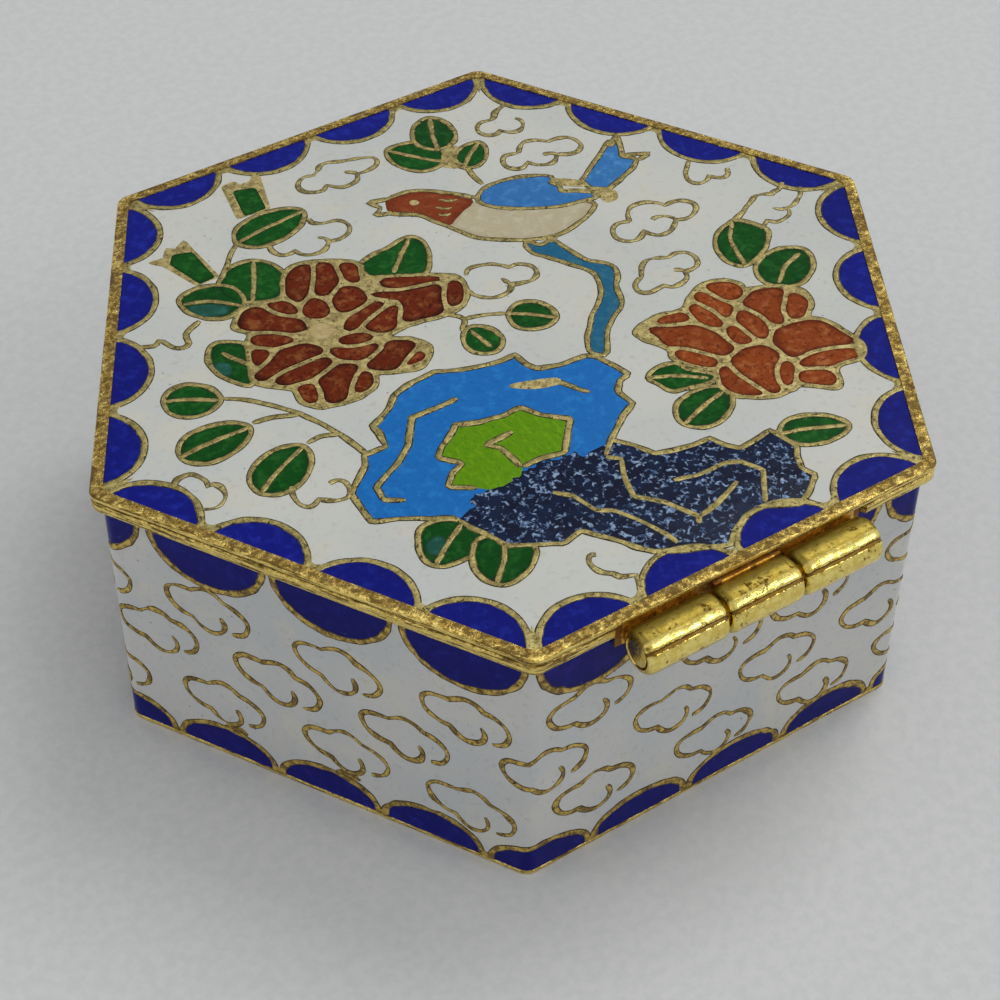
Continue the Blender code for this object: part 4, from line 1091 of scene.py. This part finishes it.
leaves = (
    # an oval (x, y, half length, half width, turn of the vein) or an outline, then the vein if it
    # isn't along the oval
    ((-4.85, 18.45, 2.1, 1.65, 160), None), ((-3.5, 21.1, 1.95, 1.5, 97), None),
    ((-1.0, 18.4, 1.6, 1.05, 68), None), ((-14.75, 10.9, 2.75, 1.6, 38), None),
    (((-15.8, 7.35), (-14.6, 6.9), (-13.8, 5.9), (-13.6, 4.8), (-14.1, 3.4), (-15.8, 3.0), (-17.4, 3.6),
      (-18.0, 4.8), (-17.7, 6.1), (-16.9, 7.0)), ((-15.8, 7.2), (-15.75, 5.2), (-15.8, 3.1))),
    ((-18.4, 3.2, 2.1, 1.7, 172), ((-20.2, 3.0), (-18.5, 3.25), (-16.5, 2.7))),
    (((-8.9, 6.5), (-8.0, 7.6), (-7.0, 8.3), (-5.6, 9.4), (-4.6, 8.7), (-4.3, 7.0), (-4.6, 5.5),
      (-5.5, 5.0), (-7.5, 5.0), (-8.6, 5.6)), ((-6.8, 5.3), (-6.3, 7.0), (-5.6, 9.2))),
    ((-19.3, -6.3, 1.75, 1.5, 0), None), ((-17.8, -10.1, 2.4, 1.5, 32), None),
    ((-13.8, -12.7, 2.35, 1.6, 58), None),
    ((2.0, 0.8, 1.55, 1.4, -10), None),
    ((-1.35, -1.4, 1.45, 1.2, 120), ((-2.0, -0.5), (-1.5, -1.2), (-0.8, -2.2))),
    (((16.4, 10.1), (18.1, 9.2), (18.2, 8.0), (17.6, 6.6), (16.3, 5.2), (15.2, 5.6), (14.6, 7.0),
      (14.8, 8.6), (15.6, 9.6)), ((16.0, 10.0), (15.7, 7.8), (16.3, 5.2))),
    ((18.9, 5.0, 2.3, 1.75, 50), ((20.0, 6.3), (18.9, 5.0), (18.2, 3.3))),
    (((8.7, -5.6), (9.4, -4.6), (10.6, -4.3), (11.2, -4.9), (12.8, -5.5), (12.6, -6.2), (11.0, -6.7),
      (10.0, -6.9), (9.2, -6.2)), ((8.8, -5.6), (10.4, -5.5), (12.4, -5.8))),
    ((11.9, -8.4, 2.2, 1.5, 47), None), ((18.2, -10.8, 2.15, 1.3, 8), None),
    (((-5.7, -17.9), (-4.2, -17.4), (-2.6, -17.8), (-1.9, -18.8), (-2.3, -19.9), (-3.6, -20.8),
      (-4.8, -21.2), (-5.7, -20.6), (-6.0, -19.3)), ((-3.3, -17.6), (-4.2, -19.2), (-5.1, -21.1))),
    (((-2.6, -19.2), (-1.2, -18.8), (0.2, -19.4), (0.7, -20.3), (0.1, -21.8), (-1.2, -22.8), (-2.4, -22.3),
      (-3.0, -20.9)), ((-1.1, -19.6), (-1.2, -20.9), (-1.7, -22.6))),
    (((-18.3, -1.2), (-17.5, -0.8), (-16.1, -1.2), (-15.8, -3.0), (-15.7, -5.0), (-16.8, -4.7),
      (-17.9, -3.8), (-18.5, -2.5)), ((-17.6, -1.9), (-16.8, -2.5), (-15.7, -3.3))),
)
tealPatches = (
    ((-19.8, 2.75), (-18.6, 2.95), (-17.3, 2.7), (-17.4, 1.95), (-18.6, 1.65), (-19.6, 2.1)),
    ((-5.5, -19.2), (-4.7, -18.7), (-4.4, -19.4), (-5.0, -20.3), (-5.5, -20.0)),
    ((-18.1, -2.9), (-17.2, -2.9), (-16.9, -3.9), (-17.4, -4.1), (-17.9, -3.6)),
)
outlines = [leafShape(*leaf) if np.ndim(leaf[0]) == 0 else walk(leaf, True, 0.22) for leaf, _ in leaves]
blooms = [walk(bloom["outline"], True, 0.2) for bloom in (peony, blossom)]
for k, (leaf, vein) in enumerate(leaves):
    # the next leaf, the flowers and the rocks lie over it
    hiders = outlines[k + 1:k + 2] + blooms + [blue, dark]
    addCell(fills["leafGlaze"], outlines[k], picture["leaf"] + picture["leafStep"] * (k % 5), fan=True)
    if vein is None:
        x, y, length, _, turn = leaf
        vein = np.array(((-0.98 * length, 0.0), (-0.2 * length, 0.10), (0.94 * length, -0.04)))
        vein = turned(vein, turn) + (x, y)
    edge = walk(outlines[k], True, 0.24)
    hidden = any(within(edge, hider).any() for hider in hiders)
    for run in shown(edge, hiders, True) if hidden else [edge]:
        addWire(lidWires, run, not hidden, picture["thin"], along=True, taper=1.0)
    for run in shown(walk(vein, False), hiders, False):
        addWire(lidWires, run, False, picture["thin"], along=True)
for patch in tealPatches:
    addCell(fills["tealGlaze"], walk(patch, True, 0.2), picture["teal"], fan=True)
podFills = (
    ((-16.4, 12.3), (-17.2, 14.9), (-15.9, 15.2), (-15.2, 13.0)),
    ((-19.2, 5.2), (-18.4, 5.7), (-19.9, 8.3), (-21, 8.1), (-21.1, 7.2)),
)
podBeds = (
    ((-16.9, 12), (-18, 15.5), (-17.3, 16), (-16.9, 15.6), (-16.1, 16), (-15.9, 17), (-15.6, 16.5),
     (-14.9, 13)),
    ((-19.4, 5), (-21.6, 7.1), (-22.5, 7.4), (-21.6, 7.8), (-21.5, 8.8), (-20.9, 8.7), (-20.4, 9.6),
     (-19.9, 8.7), (-18.1, 5.8)),
)
for green, bed in zip(podFills, podBeds):
    addCell(goldBeds, grown(walk(bed, True, 0.2, sharp=True), 0.13), picture["podBed"], tone=0)
    addCell(fills["leafGlaze"], grown(walk(green, True, 0.2, sharp=True), 0.14), picture["pod"], 0.2,
            fan=True)
lines(
    ((-2.5, 18.0), (-1.4, 16.9), (-1.0, 16), (-0.4, 15.0)),
    ((-16.9, 9.3), (-17.3, 8.2), (-17.5, 7), (-17.9, 5.4)),
    ((-17.5, -6.2), (-16, -6.4), (-14, -7.2), (-12.5, -8), (-11, -9.2), (-10, -10.2), (-8.8, -11.6)),
    ((-15.6, -8.5), (-14.5, -8.1), (-12.8, -7.9)), ((-12.3, -10.5), (-11.5, -9.9), (-10.4, -9.8)),
    ((-3.7, 1.3), (-2.4, 0.7), (-2.6, -0.5)), ((-2.3, 0.7), (-1.2, 1.0), (0.3, 1.1)),
    ((15.8, -10.9), (16.2, -10.9)),
    ((-19.1, 1.3), (-19.9, 0.1), (-19.7, -0.9), (-20.1, -1.3), (-20.7, -1.2), (-21.5, -0.5), (-21.8, -1.0),
     (-22.8, -1.1)),
    width=picture["thin"])
for bloom in (peony, blossom):
    addBloom(bloom)

# the bird: head, back with its white strip, belly, tail, and the gold between them
fill("headGlaze", ((-6.8, 13.6), (-5.5, 14.2), (-4, 14.2), (-2.4, 13.8), (-1.4, 13.4), (-1.3, 12.7),
                   (-1.9, 12.1), (-2.4, 11.3), (-2.9, 10.6), (-3.8, 11.2), (-4.8, 11.9), (-6.6, 12.1),
                   (-6.9, 12.9)),
     top=picture["head"], rim=0.12, wired=False)
fill("wingGlaze", ((-0.6, 13.4), (-0.2, 14.3), (0.8, 15), (2.2, 15.5), (3.6, 15.6), (4.3, 15.4), (4, 14.9),
                   (4.6, 14.4), (4.8, 13.8), (6, 13.7), (7.2, 13.4), (6, 12.9), (4.4, 12.4), (2.4, 12.3),
                   (0.6, 12.5), (-0.3, 12.9)), fan=False)
fill("bellyGlaze", ((-1.2, 12.9), (0, 12.2), (2, 12), (4, 12), (6.3, 12.6), (6.9, 12.3), (6.3, 11.2),
                    (5.2, 10), (4.2, 9.3), (2.8, 8.9), (1, 8.9), (-0.8, 9.2), (-2, 9.9), (-2.7, 10.6),
                    (-2.1, 11.6)),
     top=picture["belly"], wired=False)
fill("wingGlaze", ((6.6, 15), (7.3, 16.4), (8.1, 17.9), (8.8, 19.4), (9.2, 19.4), (9.2, 17.6), (10.2, 17.3),
                   (9.9, 16.5), (8.8, 15.1), (8, 14.2), (7, 14.4)), sharp=True, fan=False)
lines(((-6.8, 13.7), (-5.5, 14.35), (-4, 14.4), (-2.4, 14.0), (-1.3, 13.6), (-0.8, 13.5)),
      ((-6.9, 12.2), (-6.6, 11.95), (-4.9, 11.7), (-3.9, 11.0), (-3.0, 10.4), (-2.1, 9.7), (-0.9, 9.0),
       (1, 8.7), (2.8, 8.7), (4.3, 9.1), (5.3, 9.85), (6.4, 11.05), (7.05, 12.3), (6.4, 12.8)),
      width=picture["thin"])
lines(((-6.8, 13.65), (-8.2, 13.25), (-7.35, 12.6), (-7.8, 11.8), (-6.7, 12.0)),
      ((8.7, 18.9), (9.3, 20.3), (9.4, 19), (9.5, 17.9), (11.4, 18), (10.5, 17.3)), sharp=True)
lines(((-3.4, 13.35), (-2.8, 13.2), (-2.2, 13.3)), ((-3.7, 12.5), (-3.1, 12.3), (-2.6, 12.4)),
      ((-3.5, 11.7), (-3.1, 11.6), (-2.7, 11.75)), width=0.2)
birdGold = (
    ((4.5, 15.3), (5.6, 15.2), (6.5, 14.9), (6.6, 14.45), (5.4, 14.55), (4.7, 14.75)),
    ((4.9, 14.05), (5.9, 14.1), (7.0, 13.95), (7.2, 13.6), (6.0, 13.8), (5.0, 13.8)),
    ((7.2, 14.1), (8.4, 13.9), (8.6, 13.0), (7.9, 12.6), (7.5, 13.1), (7.0, 13.5)),
    ((3.3, 8.9), (3.6, 8.4), (4.0, 8.5), (4.2, 9.1)),
    ((-3.0, 17.3), (-2.9, 18.6), (-2.4, 19.4), (-1.9, 19.3), (-2.1, 18.2), (-1.8, 17.1), (-2.4, 17.0)),
)
for patch in birdGold:
    addCell(goldBeds, grown(walk(patch, True, 0.2), 0.08), picture["birdGold"], tone=0)
addCell(fills["stamenGlaze"], leafShape(-5.1, 13.1, 0.34, 0.30, 0, 16), picture["eye"], fan=True)

fill("branchGlaze", ((2.2, 8.3), (2.8, 7.9), (3.3, 7.95), (3.9, 8.3), (4.3, 7.8), (5, 7), (5.9, 6.1),
                     (6.9, 5.8), (7.5, 5.4), (7.6, 4.6), (7.4, 3.4), (7.6, 1.8), (7, 0.6), (6.6, -0.4),
                     (6.3, -1.6), (6.2, -3), (5.9, -3.1), (5.5, -2.8), (5.5, -1.6), (5.8, -0.3), (6, 0.6),
                     (6.5, 1.8), (6.8, 3), (6.7, 4.2), (6.2, 5.3), (4.4, 6.4), (3.4, 7), (2.6, 7.4)),
     fan=False)

addCell(fills["rockGlaze"], blue, picture["blueRock"], tone=0.1)
addCell(fills["limeGlaze"], lime, picture["hole"], tone=0.1)
addCell(fills["graniteGlaze"], dark, picture["darkRock"], tone=0.3)
addCell(goldBeds, walk(rocks["lens"], True, 0.2), picture["lens"], tone=0)
lines(rocks["blueEdge"], rocks["darkEdge"], rocks["limeEdge"], *rocks["cracks"], sharp=True)

clouds = (
    # smooth runs from cusp to cusp; a cloud on its own line ends where it begins
    (((-8.85, 16.6), (-8.2, 16.9), (-7.65, 17.4), (-7.5, 18.0), (-7.8, 18.45), (-8.7, 18.4), (-9.8, 18.15),
      (-10.9, 18.0), (-11.4, 17.7), (-11.6, 17.1), (-11.9, 16.55)),
     ((-12.6, 16.3), (-12.95, 15.6), (-12.75, 14.9), (-12.05, 14.6), (-11.25, 14.8), (-11.0, 15.4)),
     ((-10.05, 15.1), (-9.35, 15.4), (-8.9, 15.9), (-8.85, 16.6)), ((-9.1, 16.75), (-9.75, 16.85))),
    (((-12.2, 11.7), (-12.0, 11.2), (-11.4, 11.1)),
     ((-10.9, 11.25), (-10.35, 11.4), (-9.8, 11.2), (-9.5, 10.6), (-9.7, 9.8), (-10.2, 9.35),
      (-10.9, 9.1)),
     ((-11.0, 8.6), (-11.3, 8.1), (-12.1, 7.75), (-12.8, 7.9), (-13.1, 8.25)),
     ((-13.5, 7.9), (-14.0, 7.8), (-14.55, 8.2), (-14.8, 8.9))),
    (((-10.9, 9.1), (-11.1, 9.5), (-11.6, 9.6)),),
    (((1.75, 24.4), (1.35, 24.0), (1.0, 23.5), (0.8, 22.8), (0.45, 22.5)),
     ((-0.1, 22.25), (-0.4, 21.7), (-0.25, 21.05), (0.3, 20.7), (0.9, 20.85), (1.2, 21.25)),
     ((1.5, 21.1), (2.2, 21.0), (2.7, 21.4), (2.85, 22.0), (2.65, 22.5), (2.35, 22.7))),
    (((2.3, 18.5), (1.9, 18.4), (1.35, 18.2), (1.15, 17.6), (1.35, 16.9), (1.9, 16.65), (2.45, 16.7),
      (2.75, 17.05), (2.9, 17.4)),
     ((3.3, 17.1), (4.0, 17.0), (4.5, 17.2), (4.85, 17.65), (4.95, 18.2)),
     ((5.8, 18.2), (6.45, 18.55), (6.7, 19.2), (6.35, 19.9), (5.7, 20.2), (5.0, 20.1), (4.5, 19.75)),
     ((3.95, 19.9), (3.25, 19.95), (2.7, 19.7), (2.45, 19.2), (2.3, 18.5))),
    (((4.95, 18.2), (4.6, 18.35), (4.0, 18.25)),),
    (((14.0, 17.0), (13.75, 16.2), (13.6, 15.5), (13.65, 14.85), (14.05, 14.4), (14.6, 14.45),
      (15.05, 14.8), (15.15, 15.15)), ((15.6, 14.95), (16.15, 14.95), (16.5, 15.35), (16.5, 16.0))),
    (((9.2, 10.3), (9.1, 11.05), (9.3, 11.75), (9.85, 12.2), (10.55, 12.4), (11.35, 12.25), (11.75, 12.0)),
     ((12.3, 12.35), (12.95, 12.45), (13.65, 12.2), (13.85, 11.6), (13.55, 10.9), (12.95, 10.45),
      (12.3, 10.35)),
     ((12.15, 9.85), (11.8, 9.15), (11.1, 8.75), (10.4, 8.9), (10.05, 9.2)),
     ((9.85, 8.75), (9.45, 8.3), (8.8, 8.15), (8.1, 8.6), (7.95, 9.45), (8.3, 10.1), (8.9, 10.3),
      (9.2, 10.3))),
    (((12.3, 10.35), (12.1, 10.6), (11.6, 10.8), (11.0, 10.7), (10.75, 10.45)),),
    (((16.1, 10.0), (16.55, 10.5), (16.95, 11.05), (17.25, 11.6), (17.65, 12.2), (18.0, 12.7), (18.5, 12.9),
      (19.15, 12.9)), ((19.35, 13.15), (19.7, 13.4), (19.95, 13.9), (20.05, 14.2))),
    (((21.2, 13.6), (21.1, 12.8), (20.8, 12.15), (20.4, 11.6), (19.95, 11.3)),
     ((20.05, 10.9), (19.95, 10.5), (19.55, 10.1), (19.0, 9.8), (18.4, 9.95)), ((18.1, 9.4), (17.8, 9.15))),
    (((19.95, 11.3), (19.5, 11.15), (19.0, 11.35)),),
    (((9.35, 4.3), (9.4, 4.95), (9.55, 5.6), (9.9, 6.1), (10.55, 6.3), (11.35, 6.3)),
     ((11.9, 6.75), (12.6, 6.75), (13.1, 6.3), (13.2, 5.6), (12.85, 5.1), (12.25, 4.75)),
     ((12.3, 4.15), (11.9, 3.6), (11.25, 3.25), (10.7, 3.4)),
     ((10.2, 3.05), (9.6, 2.7), (9.05, 2.85), (8.85, 3.45), (9.05, 4.05), (9.35, 4.3))),
    (((12.25, 4.75), (12.05, 4.95), (11.55, 5.0)),),
    (((-2.05, 5.1), (-1.8, 5.75), (-1.1, 6.1), (-0.3, 6.2), (0.4, 6.0), (0.8, 5.8)),
     ((1.3, 6.1), (2.0, 6.0), (2.5, 5.55), (2.55, 4.85), (2.15, 4.35), (1.45, 4.1), (0.85, 4.0)),
     ((0.65, 3.3), (0.05, 2.85), (-0.7, 2.7), (-1.5, 3.0), (-1.95, 3.5))),
    (((0.85, 4.0), (0.65, 4.25), (0.25, 4.65)),),
    (((-20.05, -13.9), (-19.95, -13.3), (-19.5, -12.95), (-19.05, -12.85), (-18.6, -13.1), (-18.2, -13.5),
      (-18.15, -13.95)),
     ((-17.75, -13.75), (-17.25, -14.2), (-17.05, -14.8), (-17.25, -15.4), (-17.7, -15.8),
      (-18.35, -15.85))),
    (((-13.25, -14.2), (-13.2, -14.7), (-13.0, -15.35), (-12.65, -15.8), (-12.2, -15.95), (-11.85, -15.75),
      (-11.65, -15.35)),
     ((-11.2, -15.45), (-10.6, -15.5), (-10.0, -15.3), (-9.85, -14.8), (-9.9, -14.3), (-10.15, -13.9),
      (-10.6, -13.8), (-11.0, -14.05))),
    (((4.05, -20.7), (3.7, -20.75), (3.6, -21.2), (3.8, -21.7), (4.2, -22.1), (4.85, -22.25), (5.25, -22.5),
      (5.9, -22.45), (6.3, -22.4)),),
    (((6.2, -22.3), (6.25, -23.2), (6.3, -24.0)),),
)
for cloud in clouds:
    addWire(cloudWires, lobed(*cloud, step=0.22), False, picture["fine"], along=True, taper=0.75, uneven=2.0)

for glaze, name in lidPieces.items():
    fills[glaze].put(name, finishes[glaze], onLid, "lid", "lid_enamel")
goldBeds.put("flower_gold", finishes["flowerGold"], onLid, "lid", "lid_enamel")
lidWires.put("lid_wires", finishes["lidWire"], onLid, "lid", "lid_enamel")
cloudWires.put("cloud_wires", finishes["cloudWire"], onLid, "lid", "lid_enamel")
print("lid picture made")


hinge = {
    "y": 26.20, "z": 18.245, "radius": 1.45, "bore": 0.95, "pin": 0.92, "soft": 0.42,
    "outer": (2.80, 8.42), "middle": (-2.60, 2.60), "seam": 38.0, "seamWidth": 0.075, "seamDepth": 0.09,
    "leafHalf": 8.80, "leafY": (24.50, 24.70), "leafZ": (17.60, 19.40),
    "tabY": (24.90, 25.30), "tabZ": (18.70, 19.55),
    # the bore's softened edge and its depth; the rod's domed ends and its sides
    "lip": 0.08, "lipDepth": 0.10, "dome": 0.12, "rodSides": 32,
    # how far the skin lies low, its broad and fine dents, and how dark the seam's groove is painted
    # for its depth, a painted dark reflection along the rolls
    "sunk": 0.018, "dents": 0.016, "fineDents": 0.008, "seamPaintedDark": 110.0,
    # rows over a softened end and along the skin, and the sides of a roll; a slab's sides and how
    # square it is; the wear mark that paints its ends dark brown, a painted shade, and how long they are
    "endRows": 7, "skinRows": 40, "sides": 120, "slabSides": 48, "square": 0.18, "paintedShadeEnds": (-4.0, 0.5),
    # the necks from the plate to the rolls: drawn in at the ends, sunk in the plate, half the height
    "neck": (0.25, 0.05, 0.45), "tabInset": 0.22,
    # from where to where the rolls have lost their polish and are painted darker, a painted shade
    # over their tops, in degrees upwards from the side that faces away from the walls
    "dull": (62, 150),
}


def aroundPin(x, radii, angle):  # rings of the radii about the pin, at places x along it
    return np.stack((np.broadcast_to(x[:, None], radii.shape), hinge["y"] + radii * np.cos(angle),
                     hinge["z"] + radii * np.sin(angle)), axis=-1).reshape(-1, 3)


def addKnuckle(heap, start, end):
    # a closed section of (x, radius) turned round the pin: skin, softened ends, end faces and bore;
    # the skin has low dents and dips along one line, where the rolled sheet shows its seam; the seam
    # is painted dark brown, a painted dark reflection, and the tops are painted darker, a painted shade
    soft, radius, bore, lip = hinge["soft"], hinge["radius"], hinge["bore"], hinge["bore"] + hinge["lip"]
    t = np.linspace(0, math.pi / 2, hinge["endRows"])
    along = np.linspace(start + soft, end - soft, hinge["skinRows"])[1:-1]
    skin = np.concatenate((start + soft - soft * np.cos(t), along, end - soft + soft * np.sin(t)))
    x = np.concatenate((skin, (end, end - hinge["lipDepth"], start + hinge["lipDepth"], start)))
    r = np.concatenate((radius - soft + soft * np.sin(t), np.full(len(along), radius),
                        radius - soft + soft * np.cos(t), (lip, bore, bore, lip)))
    isSkin = (np.arange(len(x)) < len(skin)).astype(float)[:, None]
    x, r = x[:, None], r[:, None]
    angle = np.linspace(0, 2 * math.pi, hinge["sides"], endpoint=False)[None, :]
    degrees = np.degrees(angle)
    dip = hinge["seamDepth"] * np.exp(-((angle - math.radians(hinge["seam"])) / hinge["seamWidth"]) ** 2)
    dents = ripple(x * 1.7 + start, angle * 3.0, 1.0, hinge["dents"]) - hinge["sunk"]
    dents = dents + ripple(x * 4.1 + 2.0, angle * 9.0 + start, 1.0, hinge["fineDents"])
    # painted dark reflection: the seam's groove drives the wear mark far down, so it is painted brown
    wear = isSkin * (0.5 - hinge["seamPaintedDark"] * dip) + 0.2 * (1 - isSkin)
    # painted shade: the tops of the rolls are marked dull and painted darker
    first, last = hinge["dull"]
    dull = isSkin * np.clip((degrees - first) / 6, 0, 1) * np.clip((last - degrees) / 20, 0, 1)
    heap.add(aroundPin(x[:, 0], r + isSkin * (dents - dip), angle),
             [gridFaces(*dull.shape, True, True)[:, ::-1]], wear=wear.ravel(), dull=dull.ravel())


def addSlab(heap, low, high, soft=0.08, wear=0.3):
    # a softened block: a superellipse section in X and Y carried up, drawn in at both ends
    middle, half = (np.array(low) + high) / 2, (np.array(high) - low) / 2
    t = np.linspace(0, 2 * math.pi, hinge["slabSides"], endpoint=False)
    unit = np.stack((np.cos(t), np.sin(t)), axis=1)
    unit = np.sign(unit) * np.abs(unit) ** hinge["square"]
    rows = ((-1, soft), (-1, 0.35 * soft), (-1 + 0.35 * soft / half[2], 0), (1 - 0.35 * soft / half[2], 0),
            (1, 0.35 * soft), (1, soft))
    shape = np.concatenate([np.column_stack((unit * (half[:2] - inset) + middle[:2],
                                             np.full(len(t), middle[2] + level * half[2])))
                            for level, inset in rows])
    j = np.arange(len(t))
    mark, length = hinge["paintedShadeEnds"]
    paintedShadeEnds = mark * (np.abs(shape[:, 0] - middle[0]) > half[0] - length)  # the ends are painted dark brown, a painted shade
    faceSets = [gridFaces(len(rows), len(t), closeColumns=True), [j[::-1]], [(len(rows) - 1) * len(t) + j]]
    heap.add(shape, faceSets, wear=wear + paintedShadeEnds)


def addRod(heap, start, end, radius):
    # a bar round the hinge line; its domed ends are quarter ellipses of (x, radius)
    dome, count = hinge["dome"], hinge["rodSides"]
    t = np.linspace(0, math.pi / 2, 5)[:-1]
    x = np.concatenate((start + dome - dome * np.cos(t), end - dome + dome * np.sin(t[1:]), (end,)))
    r = np.concatenate((radius * np.sin(t + 0.05), radius * np.cos(t[1:]), (0.05 * radius,)))
    r = np.maximum(r, 0.03)[:, None]
    angle = np.linspace(0, 2 * math.pi, count, endpoint=False)[None, :]
    j = np.arange(count)
    # painted highlight: a wear mark of 2 paints the whole rod bright gilt, its shaded ends too
    heap.add(aroundPin(x, r * np.ones((1, count)), angle),
             [gridFaces(len(x), count, closeColumns=True)[:, ::-1], [j], [(len(x) - 1) * count + j[::-1]]],
             wear=2.0)


bodyHinge, lidHinge, lidTab, rod, leafPlate = Heap(), Heap(), Heap(), Heap(), Heap()
near, far = hinge["outer"]
leafBack, leafFront = hinge["leafY"]
addSlab(leafPlate, (-hinge["leafHalf"], leafBack, hinge["leafZ"][0]),
        (hinge["leafHalf"], leafFront, hinge["leafZ"][1]), 0.04, wear=0.0)
inset, sunk, rise = hinge["neck"]
for start, end in ((-far, -near), (near, far)):
    addKnuckle(bodyHinge, start, end)
    addSlab(bodyHinge, (start + inset, leafBack + sunk, hinge["z"] - rise),
            (end - inset, hinge["y"] - hinge["radius"] + inset, hinge["z"] + rise))
start, end = hinge["middle"]
addKnuckle(lidHinge, start, end)
addSlab(lidTab, (start + hinge["tabInset"], hinge["tabY"][0], hinge["tabZ"][0]),
        (end - hinge["tabInset"], hinge["tabY"][1], hinge["tabZ"][1]), wear=-0.4)
addRod(rod, -far - 0.04, far + 0.04, hinge["pin"])
asDrawn = np.array
bodyHinge.put("hinge_body_rolls", finishes["hingeGilt"], asDrawn, "box", "hinge_brass", "hinge_leaf_body")
lidHinge.put("hinge_lid_roll", finishes["hingeGilt"], asDrawn, "lid", "hinge_brass", "hinge_leaf_lid")
lidTab.put("hinge_lid_tab", finishes["tabGilt"], asDrawn, "lid", "hinge_brass")
leafPlate.put("hinge_body_plate", finishes["tabGilt"], asDrawn, "box", "hinge_brass")
rod.put("hinge_rod", finishes["pinMetal"], asDrawn, "box", "pin_metal", "hinge_pin")
print("hinge made")
